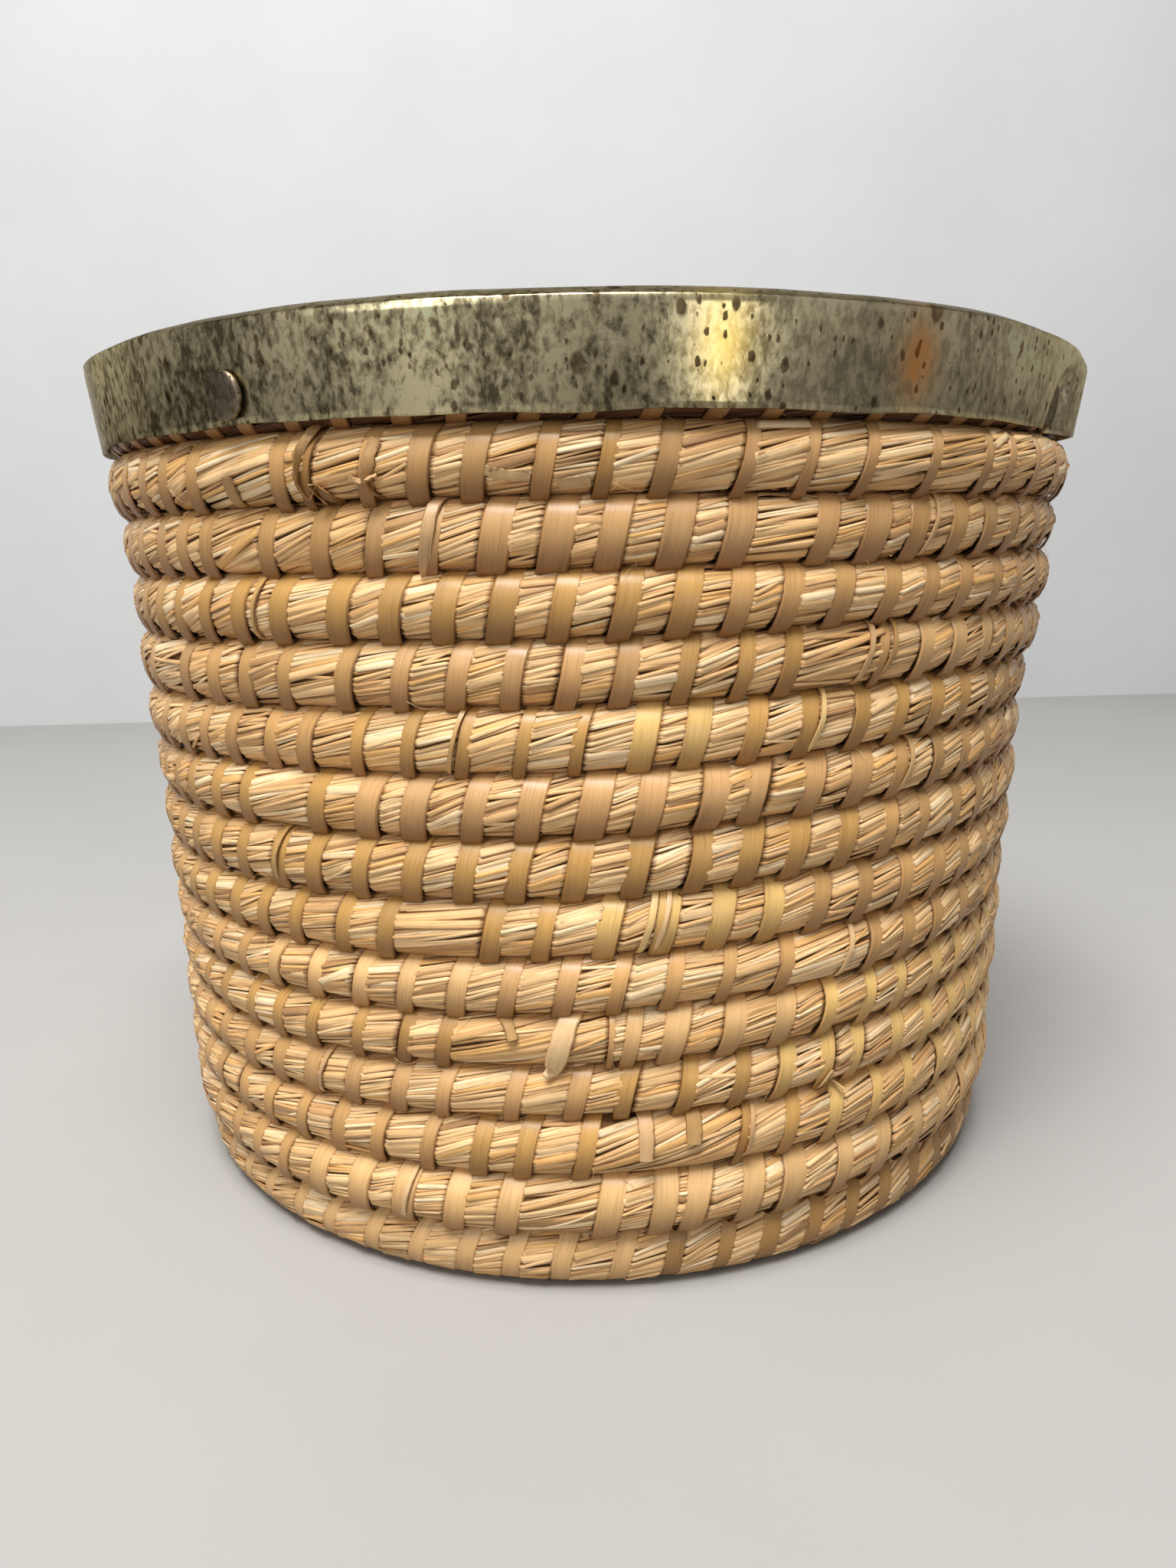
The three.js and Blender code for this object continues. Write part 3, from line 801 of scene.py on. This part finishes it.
# Each strip by its width, tone, turns of twist, crumple and places
strips = [loose_strip(*strip) for strip in (
    # the stub and the twisted, knotted splints of the top row
    (3.6, cane_brown, 0.02, 0.04, [(13.399, -10, 1.5), (13.3985, -35, 1.0), (13.3975, -64, 0.7),
                                   (12.397, 82, 0.2)]),
    (2.4, cane_brown, 0.45, 0.12, [(13.4275, 78, 0.8), (13.4262, 55, 1.5), (13.4235, 25, 1.1),
                                   (13.4222, 0, 1.2), (13.4212, -30, 1.3), (13.4222, -60, 1.4),
                                   (13.4245, -80, 1.0)]),
    (2.0, cane_brown, 0.7, 0.14, [(13.4245, -84, 0.5), (13.427, -55, 1.6), (13.426, -28, 1.9),
                                  (13.4288, -50, 1.6), (13.430, -82, 0.6)]),
    (2.8, cane_brown, 0.5, 0.12, [(13.4435, 30, 0.9), (13.4415, -5, 1.1), (13.4405, -28, 1.5),
                                  (13.4410, -50, 1.2), (13.4412, -84, 0.5)]),
    (1.2, cane_pink, 0.2, 0.08, [(13.4365, -22, 1.0), (13.4395, -26, 1.9), (13.4440, -20, 1.4)]),
    (2.4, torn_straw, 0.04, 0.08, [(13.469, -20, -0.1), (13.474, -28, 0.3), (13.480, -34, 0.3)]),
    (2.8, torn_straw, 0.03, 0.08, [(13.484, -50, -0.1), (13.489, -44, 0.3), (13.494, -40, 0.2)]),
    # the twisted one below it, whose tail hangs over the next row
    (3.0, cane_pink, 0.12, 0.07, [(12.4582, 80, 0.5), (12.4562, 42, 1.1), (12.4548, 0, 1.1),
                                  (12.4530, -45, 1.2), (12.4518, -78, 1.6), (11.4515, 66, 1.3)]),
    # the fourth row: a stub, a straight end, the straw curled out under it
    (3.0, cane_brown, 0.08, 0.06, [(4.4665, 84, 0.3), (4.4668, 60, 0.8), (4.4690, 36, 1.1),
                                   (4.4705, 12, 2.0)]),
    (5.6, cane_pale, 0.0, 0.05, [(4.4875, 80, 0.3), (4.4858, 48, 1.0), (4.4836, 5, 1.1), (4.4815, -38, 1.9),
                                 (3.4795, 50, 2.4)]),
    (3.4, torn_straw, 0.1, 0.08, [(3.484, 66, 1.2), (3.4895, 62, 2.2), (3.494, 76, 1.8), (4.4985, -62, 0.6)]),
    # the second row: two stubs and a thin splint beside the narrow one
    (4.2, cane_pink, 0.01, 0.05, [(2.5070, 84, 0.2), (2.5072, 55, 0.9), (2.5072, 22, 1.0),
                                  (2.5068, -12, 1.6)]),
    (4.2, cane_brown, 0.01, 0.05, [(2.5214, 84, 0.2), (2.5214, 55, 0.9), (2.5210, 28, 1.1),
                                   (2.5205, 6, 1.8)]),
    (1.3, cane_pink, 0.1, 0.05, [(2.5410, 76, 0.5), (2.5390, 30, 0.9), (2.5375, -20, 0.9),
                                 (2.5355, -74, 0.5)]),
    (1.3, cane_pale, 0.15, 0.03, [(2.5632, 86, 0.8), (2.5662, 66, 2.0), (2.5700, 38, 2.6)]),
    (0.9, cane_pale, 0.10, 0.02, [(3.5650, -15, 0.9), (3.5618, -50, 1.6), (2.5640, 74, 1.4)]),
    (3.0, cane_tan, 0.05, 0.06, [(8.500, 80, 0.6), (8.509, 72, 1.4), (8.520, 76, 0.8)]))]
strips += [split_beside(*split) for split in (
    (5.566, 1.5, cane_pale), (6.505, 1.8, cane_yellow), (6.509, 1.3, cane_pale), (7.395, 1.4, cane_ochre),
    (8.585, 1.5, cane_tan), (9.455, 1.2, cane_ochre), (9.552, 1.4, cane_yellow), (10.566, 1.6, cane_pink),
    (10.574, 1.4, cane_brown), (11.398, 1.3, cane_ochre), (3.404, 1.4, cane_pink), (1.432, 1.5, cane_pale),
    (12.585, 1.4, cane_pink), (5.12, 1.4, cane_tan), (7.86, 1.6, cane_brown), (9.93, 1.4, cane_pink))]
loose_ends = strand_mesh("loose_splint_ends", *(np.stack(part) for part in zip(*strips)), splint_finish,
                         crisp_edge)
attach(loose_ends, "root")

# The fibres start in a groove, lean out of it and curl a little, each its own way
fibres = 260
row_of_fibre = loose_rng.integers(1, 14, fibres)
start_turn = row_of_fibre + loose_rng.uniform(0.22, 0.78, fibres)
below = loose_rng.random(fibres) < 0.5
start_round = np.where(below, -1, 1) * loose_rng.uniform(62, 86, fibres)
run = loose_rng.normal(0, 0.007, fibres)
rise_above = loose_rng.uniform(0.6, 2.4, fibres)
swing = -np.sign(start_round) * loose_rng.uniform(5, 45, fibres)
t = np.linspace(0, 1, fibre_rings)
fibre_turn = start_turn[:, None] + run[:, None] * t
fibre_round = np.radians(start_round[:, None] + swing[:, None] * t ** 1.6)
arch = np.sin(t * loose_rng.uniform(1.4, 2.6, fibres)[:, None])
fibre_lift = (-0.3 + (0.3 + rise_above[:, None]) * arch) * mm
centre, facing = on_bundle(fibre_turn, fibre_round, 1.0, fibre_lift)
side, _ = across_and_out(centre, facing)
thin = (loose_rng.uniform(0.07, 0.16, fibres)[:, None] * (1 - 0.6 * t) * mm)[..., None]
rings = np.stack([centre + side * thin, centre + facing * thin * 1.4, centre - side * thin], 2)
tone = straw_colours[loose_rng.choice(len(straw_colours), fibres, p=straw_shares)][:, None, None, :]
loose_fibres = strand_mesh("loose_fibres", rings, tone, t[:, None] * 8 * mm, np.array([1, 0, -1]) * 0.1 * mm,
                           straw_finish)
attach(loose_fibres, "root")


# The brass rim. One strip is folded over the last row as a channel, with its crown creased along both
# edges. It was hammered by hand, and its ends meet beside the second rivet, where the skirt is dented in.
brass = 0.8 * mm
flange_edge = 217.5 * mm
channel_width = 18.7 * mm
crown_rise = 2.6 * mm
crown_power = 2.2
band_steps = 480
outer_steps = [15, 17, 9]
inner_steps = [4, 7, 4]
rivet_angles = np.radians([235, 325, 55, 145])
rivet_height = skirt_edge + 6.6 * mm
blows = 190
band_waver = 0.28 * mm
edge_waver = 0.45 * mm
wavy_edge = 7 * mm
inside_radius = 140 * mm


def skirt_radius(z):
    """Outer radius of the brass skirt at a height."""
    return rim_radius + skirt_slope * (z - shoulder_height)


def channel_face(inset, skirt_steps, crown_steps, flange_steps):
    """One face of the channel as radius and height, from the skirt's edge over the crown to the flange's
    edge. The crown rises as 1 - |x|^p between its creases, where p is crown_power."""
    crease = basket_height - crown_rise
    z = np.linspace(skirt_edge, crease - 0.4 * mm, skirt_steps)
    skirt = np.stack([skirt_radius(z) - inset, z], -1)
    x = np.cos(np.linspace(0.16, np.pi - 0.16, crown_steps))
    middle = skirt_radius(crease) - channel_width / 2
    crown = np.stack([middle + (channel_width / 2 - inset - 0.35 * mm) * x,
                      crease + crown_rise * (1 - np.abs(x) ** crown_power) - inset], -1)
    z = np.linspace(crease - 0.7 * mm, flange_edge, flange_steps)
    flange = np.stack([skirt_radius(z) - channel_width + inset, z], -1)
    return np.concatenate([skirt, crown, flange])


section = np.concatenate([channel_face(0, *outer_steps), channel_face(brass, *inner_steps)[::-1]])
# The skin's outward way at each point of the section: out on the skirt, up on the crown and in on the
# flange, and on the inner face the other way round
skin = np.concatenate([np.repeat([[1, 0], [0, 1], [-1, 0]], outer_steps, 0),
                       np.repeat([[-1, 0], [0, 1], [1, 0]], inner_steps, 0)])
angle = np.arange(band_steps) / band_steps * full_turn
ring_r = np.broadcast_to(section[:, 0], (band_steps, len(section))).copy()
ring_z = np.broadcast_to(section[:, 1], (band_steps, len(section))).copy()

# The hammer's blows, the waver of the whole band and that of the skirt's edge
band_rng = np.random.default_rng(5)
blow_angle = band_rng.uniform(0, full_turn, blows)
blow_height = band_rng.uniform(skirt_edge - 2 * mm, basket_height, blows)
blow_depth = band_rng.normal(0.10, 0.09, blows) * mm
blow_size = band_rng.uniform(5, 10, blows) * mm
along_band = (angle_from(angle[:, None], blow_angle) * rim_radius)[:, None, :]
up_band = ring_z[:1, :, None] - blow_height
dents = (blow_depth * np.exp(-(along_band ** 2 + up_band ** 2) / blow_size ** 2)).sum(-1)
waves = band_waver * wander(angle / full_turn, 8, (5, 9, 14, 23))[:, None]
edge_share = smooth((skirt_edge + wavy_edge - ring_z) / wavy_edge) * (ring_r > inside_radius)
ripple = edge_waver * wander(angle / full_turn, 9, (6, 11, 17, 29))[:, None] * edge_share

# The dent at the second rivet. The skirt is folded in along a slanting line, steeply from the left and
# gently from the right, and beyond it bulges out, and the crown sags towards it.
dent_depth = 5.4 * mm
dent_slant = 0.48
dent_place = -1.6 * mm
sharp_side, long_side, right_reach = 0.9 * mm, 6 * mm, 5.5 * mm
bulge_out, bulge_place, bulge_reach = 3.2 * mm, 26 * mm, 16 * mm
sag_depth, sag_place, sag_reach = 1.6 * mm, 10 * mm, 26 * mm
across_dent = angle_from(angle, rivet_angles[1])[:, None] * rim_radius
slanted = across_dent - dent_slant * (ring_z - skirt_edge) - dent_place
left_side = 0.55 * np.exp(-np.abs(slanted / sharp_side) ** 1.5) + 0.45 * hump(slanted, 0, long_side)
fold = dent_depth * np.where(slanted < 0, left_side, hump(slanted, 0, right_reach))
bulged = bulge_out * hump(across_dent, bulge_place, bulge_reach)
crown_sag = sag_depth * hump(across_dent, sag_place, sag_reach)
on_skirt = (ring_r > inside_radius) * smooth((basket_height - 0.5 * mm - ring_z) / (7 * mm))
folded_share = on_skirt * smooth((basket_height - 5 * mm - ring_z) / (12 * mm))
ring_r += skin[:, 0] * (waves - dents) + bulged * on_skirt - fold * folded_share
ring_z += skin[:, 1] * (0.5 * waves - dents - crown_sag) - ripple
ring_z = np.minimum(ring_z, basket_height)
points = at_angle(ring_r, ring_z, angle[:, None])

near = np.arange(band_steps * len(section)).reshape(band_steps, -1)
far = np.roll(near, -1, 0)
quads = np.stack([near, far, np.roll(far, -1, 1), np.roll(near, -1, 1)], -1).reshape(-1, 4)
mesh = bpy.data.meshes.new("brass_rim")
mesh.from_pydata(points.reshape(-1, 3), [], quads)
mesh.polygons.foreach_set("use_smooth", np.ones(len(quads), bool))
brass_rim = in_scene("brass_rim", mesh)

# How light the metal is round the rim, by degrees from +X, as judged. The crown is painted darker than the
# skirt, as a painted dark reflection, and the skirt is lighter towards the top. Painted shade darkens the
# fold of the dent, and a painted highlight lies along the fold's edge. A coppery patch, a yellow one painted
# where the glint's reflection falls, and the calm end by the dent have masks of their own.
light_at = [0, 60, 120, 180, 204, 226, 238, 247, 256, 264, 271, 276, 282, 288, 292, 296, 302, 310, 318, 328,
            336, 360]
lightness = [0.9, 1, 0.85, 0.9, 0.9, 0.95, 1.0, 1.25, 1.4, 1.1, 0.7, 0.95, 1.3, 1.3, 1.0, 1.4, 1.3, 1.7, 1.9,
             1.9, 1.5, 0.9]
# The crown's factor is a painted dark reflection
crown_dark_reflection = 0.2
low_light, light_gained, gained_over = 0.72, 0.42, 20 * mm
fold_shade_depth, fold_highlight_gain = 0.98, 0.5
degrees = np.degrees(angle)[:, None]
on_crown = section[:, 1] > basket_height - crown_rise - 0.2 * mm
zones = np.interp(degrees, light_at, lightness) * np.where(on_crown, crown_dark_reflection, 1)
copper = hump(degrees, 297, 2.0) * hump(ring_z, 227 * mm, 8 * mm)
# Yellow painted where the glint's reflection falls
glint_patch = hump(degrees, 278.5, 2.6) * hump(ring_z, 229 * mm, 9 * mm)
calm = 0.5 * smooth((degrees - 280) / 6) * smooth((345 - degrees) / 10)
# Painted shade in the fold of the dent
fold_shade = hump(slanted, 0.4 * mm, 2.0 * mm) * folded_share
# A painted highlight along the fold's edge
fold_highlight = hump(slanted, -3.0 * mm, 0.9 * mm) * folded_share
# The skirt is lighter towards the top
lighter_upwards = low_light + light_gained * smooth((ring_z - skirt_edge) / gained_over)
zones = zones * lighter_upwards * (1 - fold_shade_depth * fold_shade) * (1 + fold_highlight_gain * fold_highlight)
tone = np.stack(np.broadcast_arrays(zones, copper, glint_patch, calm), -1).astype(np.float32)
mesh.attributes.new("tone", "FLOAT_COLOR", "POINT").data.foreach_set("color", tone.ravel())


def patina():
    """The node group of old brass: Mottle is a cloud of small ragged patches, Specks are dark spots of
    three sizes, Cloud is a slow drift, Scratches are thin slanting lines, and Height is for a bump."""
    group, given, result = new_group("brass patina", {"Mottle per metre": 540.0, "Specks per metre": 280.0},
                                     ("Mottle", "Specks", "Cloud", "Scratches", "Height"))
    place = node(group, "TexCoord").outputs["Object"]
    tall = node(group, "Mapping", {"Vector": place, "Scale": (1.0, 1.0, 0.6)}).outputs[0]
    mottle = noise(group, tall, given["Mottle per metre"], 5.0, 0.62, 0.3)
    cloud = noise(group, tall, 60.0, 3.0)
    raggedness = (0.0007, 0.0007, 0.0007)
    ragged = node(group, "VectorMath", {0: noise(group, place, 900.0, 2.0, output=1), 1: raggedness, 2: tall},
                  operation="MULTIPLY_ADD").outputs[0]
    slanting = node(group, "Mapping", {"Vector": place, "Rotation": (0.5, 0.3, 0),
                                       "Scale": (50.0, 50.0, 700.0)}).outputs[0]
    off_line = maths(group, "ABSOLUTE", minus(group, noise(group, slanting, 1.0, 1.0), 0.5))
    thin = clamped(group, minus(group, 1.0, times(group, off_line, 45.0)))
    scratched = times(group, thin, clamped(group, times(group, minus(group, cloud, 0.48), 5.0)))
    crowded = about_zero(group, cloud, 0.5)
    specks = 0.0
    for per_metre_share, rarity, largest in ((0.5, 0.62, 0.74), (1.0, 0.4, 0.6), (1.9, 0.4, 0.62)):
        per_metre = times(group, given["Specks per metre"], per_metre_share)
        cells = node(group, "TexVoronoi", {"Vector": ragged, "Scale": per_metre}).outputs
        chosen = node(group, "SeparateColor", {0: cells["Color"]}).outputs[0]
        chosen = plus(group, minus(group, chosen, rarity), crowded)
        spot = minus(group, times(group, chosen, largest), cells["Distance"])
        specks = maths(group, "MAXIMUM", specks, clamped(group, times(group, spot, 12.0)))
    hand_out(group, result, Mottle=mottle, Specks=specks, Cloud=cloud, Scratches=scratched,
             Height=minus(group, mottle, times(group, specks, 0.5)))
    return group


patina_group = patina()
calm_olive = (0.46, 0.385, 0.245, 1)
copper_red = (0.95, 0.42, 0.12, 1)
# The yellow painted where the glint's reflection falls
glint_yellow = (0.84, 0.60, 0.17, 1)
scratch_bright = (0.95, 0.87, 0.68, 1)
speck_brown = (0.24, 0.20, 0.18, 1)


def brass_finish(name, dark, olive, gold, mottles, specks, roughness, zoned):
    """Patinated brass: dark, olive and gold patches mottled together, and brown specks. Where it is zoned,
    the tone attribute makes it lighter or darker, with painted shade and a painted highlight, copper in one
    patch and yellow where the glint's reflection is painted, from place to place."""
    material, tree, bsdf = new_material(name, roughness, Metallic=1.0, Specular_Tint=(0.6, 0.55, 0.45, 1))
    old = node(tree, "Group", {"Mottle per metre": mottles, "Specks per metre": specks},
               node_tree=patina_group).outputs
    blotchy = plus(tree, old["Mottle"], about_zero(tree, old["Cloud"], 0.5))
    ramp = node(tree, "ValToRGB", {0: blotchy})
    first, last = ramp.color_ramp.elements
    first.position, first.color = 0.36, dark
    last.position, last.color = 0.60, gold
    ramp.color_ramp.elements.new(0.46).color = olive
    tone = ramp.outputs[0]
    dull = roughness - 0.1
    if zoned:
        held = node(tree, "Attribute", attribute_name="tone").outputs
        light, copper, glint_patch = node(tree, "SeparateColor", {0: held["Color"]}).outputs
        tone = dimmed(tree, mixed(tree, held["Alpha"], tone, calm_olive), light)
        tone = mixed(tree, times(tree, copper, times(tree, old["Mottle"], 1.9)), tone, copper_red)
        # Yellow where the glint's reflection is painted
        tone = mixed(tree, times(tree, glint_patch, 0.75), tone, glint_yellow)
        # Rougher where the metal is painted dark, by the fold's painted shade and the crown's painted dark
        # reflection
        where_painted_dark = clamped(tree, minus(tree, 1.0, times(tree, light, 4.0)))
        dull = plus(tree, dull, times(tree, where_painted_dark, 0.6))
    tone = mixed(tree, times(tree, old["Scratches"], 0.3), tone, scratch_bright)
    spotted = mixed(tree, 1.0, tone, speck_brown, "MULTIPLY")
    tone = mixed(tree, times(tree, old["Specks"], 0.95), tone, spotted)
    rough = plus(tree, plus(tree, dull, times(tree, old["Specks"], 0.25)), times(tree, old["Cloud"], 0.2))
    joined_up(tree, bsdf, tone, rough, old["Height"], 0.4, 0.08 * mm)
    return material


rim_finish = brass_finish("patinated brass", (0.155, 0.13, 0.075, 1), (0.385, 0.33, 0.195, 1),
                          (0.76, 0.66, 0.40, 1), 540, 280, 0.29, True)
mesh.materials.append(rim_finish)
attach(brass_rim, "root")
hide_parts("rim_band")


# The four rivets. Each is a brass pin with a broad flat head on the skirt, passed through strip, straw and
# strip and hammered over on the flange.
head_radius = 5.5 * mm
head_thickness = 1.3 * mm
shank_radius = 2.0 * mm
tail_radius = 3.2 * mm
tail_thickness = 1.0 * mm
seat = 0.3 * mm
pin_sides = 48
knocked_in = 2.6 * mm
skirt_tilt = math.atan(skirt_slope)
grip = channel_width * math.cos(skirt_tilt) + 2 * seat
rivet_finish = brass_finish("brown brass", (0.13, 0.10, 0.07, 1), (0.20, 0.16, 0.115, 1),
                            (0.29, 0.235, 0.16, 1), 900, 600, 0.38, False)
# The pin's outline as radius and distance out along it, from the middle of its head to that of its tail
rivet_profile = np.array([
    (0, head_thickness + 0.10 * mm), (1.8 * mm, head_thickness + 0.08 * mm),
    (3.6 * mm, head_thickness + 0.02 * mm), (4.8 * mm, head_thickness - 0.06 * mm),
    (5.25 * mm, head_thickness - 0.22 * mm), (head_radius, head_thickness - 0.6 * mm),
    (head_radius, 0.15 * mm), (5.3 * mm, 0), (shank_radius, 0), (shank_radius, -grip),
    (tail_radius - 0.2 * mm, -grip), (tail_radius, -grip - 0.25 * mm),
    (tail_radius - 0.4 * mm, -grip - 0.75 * mm), (1.6 * mm, -grip - tail_thickness),
    (0, -grip - tail_thickness)])
radius, along_pin = rivet_profile.T
around = np.arange(pin_sides) / pin_sides * full_turn
pin = at_angle(radius[1:-1], along_pin[1:-1] + seat, around[:, None]).reshape(-1, 3)
pin = np.concatenate([pin, [[0, 0, along_pin[0] + seat]], [[0, 0, along_pin[-1] + seat]]])
rings = np.arange(len(pin) - 2).reshape(pin_sides, -1)
next_rings = np.roll(rings, -1, 0)
walls = np.stack([rings[:, :-1], rings[:, 1:], next_rings[:, 1:], next_rings[:, :-1]], -1).reshape(-1, 4)
head = np.stack([np.full(pin_sides, len(pin) - 2), rings[:, 0], next_rings[:, 0]], -1)
tail = np.stack([np.full(pin_sides, len(pin) - 1), next_rings[:, -1], rings[:, -1]], -1)
faces = walls.tolist() + head.tolist() + tail.tolist()
for number, turn in enumerate(rivet_angles):
    # The pin is turned to stand square on the skirt, and the second one is knocked in with the dent
    out = at_angle(math.cos(skirt_tilt), -math.sin(skirt_tilt), turn)
    level = np.array([-math.sin(turn), math.cos(turn), 0])
    upright = np.cross(out, level)
    set_in = knocked_in if number == 1 else 0.0
    foot_of_pin = at_angle(skirt_radius(rivet_height) - set_in, rivet_height, turn)
    mesh = bpy.data.meshes.new(f"rivet_{number + 1}")
    mesh.from_pydata(foot_of_pin + pin[:, :1] * level + pin[:, 1:2] * upright + pin[:, 2:] * out, [], faces)
    mesh.polygons.foreach_set("use_smooth", np.ones(len(mesh.polygons), bool))
    mesh.set_sharp_from_angle(angle=math.radians(50))
    mesh.materials.append(rivet_finish)
    rivet = in_scene(f"rivet_{number + 1}", mesh)
    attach(rivet, "root")
    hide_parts(f"rim_rivet_{number + 1}")


# The room, for the picture only. It has a pale painted floor and a pale wall behind, with soft light from
# above and a little from the left and the right.
def plain_surface(name, corners, colour, roughness, thrown_back):
    """A flat face through four corners, with a faintly uneven plain paint. It is paler to the camera than
    to the light that it throws back on the basket, whose share is thrown_back."""
    mesh = bpy.data.meshes.new(name)
    mesh.from_pydata(corners, [], [(0, 1, 2, 3)])
    surface = in_scene(name, mesh)
    material, tree, bsdf = new_material(name, roughness)
    place = node(tree, "TexCoord").outputs["Object"]
    darker = tuple(c * 0.86 for c in colour) + (1,)
    seen = mixed(tree, noise(tree, place, 6.0, 8.0, 0.6), darker, colour + (1,))
    unseen = tuple(c * thrown_back for c in colour) + (1,)
    direct = node(tree, "LightPath").outputs["Is Camera Ray"]
    tree.links.new(mixed(tree, direct, unseen, seen), bsdf.inputs["Base Color"])
    mesh.materials.append(material)


plain_surface("floor", [(-4, -4, 0), (4, -4, 0), (4, 1.6, 0), (-4, 1.6, 0)], (0.43, 0.42, 0.40), 0.7, 0.6)
plain_surface("wall", [(-4, 0.75, 0), (4, 0.95, 0), (4, 0.95, 4), (-4, 0.75, 4)], (0.72, 0.72, 0.72), 0.9,
              1.0)


def placed(right, up, back, place):
    """The matrix that puts a lamp or the camera at place, with its sides along right, up and back."""
    return Matrix(np.vstack([np.column_stack([right, up, back, place]), [0, 0, 0, 1]]).tolist())


def soft_lamp(name, place, aim, width, height, watts):
    """A rectangular area lamp at place, turned to face aim."""
    light = bpy.data.lights.new(name, "AREA")
    light.shape = "RECTANGLE"
    light.size, light.size_y, light.energy = width, height, watts
    lamp = in_scene(name, light)
    back = unit(np.subtract(place, aim))
    right = unit(np.cross([0, 0, 1.0], back))
    lamp.matrix_world = placed(right, np.cross(back, right), back, place)
    return lamp


soft_lamp("overhead", (-0.22, -0.68, 1.8), (0, 0, 0.1), 0.9, 0.9, 50)
soft_lamp("front left", (-1.2, -1.7, 1.1), (0, 0, 0.12), 0.9, 1.2, 8)
glint = soft_lamp("glint", (0.36, -0.86, 0.17), (0.02, -0.14, 0.22), 0.04, 0.34, 0.45)
glint.visible_diffuse = False
world = bpy.data.worlds.new("soft room light")
world.use_nodes = True
world.node_tree.nodes["Background"].inputs[0].default_value = (0.98, 0.98, 1.0, 1)
world.node_tree.nodes["Background"].inputs[1].default_value = 0.27
bpy.context.scene.world = world
bpy.context.scene.view_settings.view_transform = "Standard"

# The camera stands in front, just below the rim's height and close, so that the rim bows up and the foot
# bows down
focal_pixels = 1458
frame_height = 2048
camera_place = np.array([-0.0192, -0.3856, 0.1904])
pitch, yaw, roll = math.radians(12.54), math.radians(2.88), math.radians(-0.96)
ahead = np.array([math.sin(yaw) * math.cos(pitch), math.cos(yaw) * math.cos(pitch), -math.sin(pitch)])
right = np.array([math.cos(yaw), -math.sin(yaw), 0])
upward = np.cross(right, ahead)
rolled_right = right * math.cos(roll) + upward * math.sin(roll)
rolled_up = upward * math.cos(roll) - right * math.sin(roll)
lens = bpy.data.cameras.new("camera")
lens.sensor_fit = "VERTICAL"
lens.sensor_height = 36
lens.lens = focal_pixels / frame_height * lens.sensor_height
lens.clip_start = 0.01
camera = in_scene("camera", lens)
camera.matrix_world = placed(rolled_right, rolled_up, -ahead, camera_place)
bpy.context.scene.camera = camera
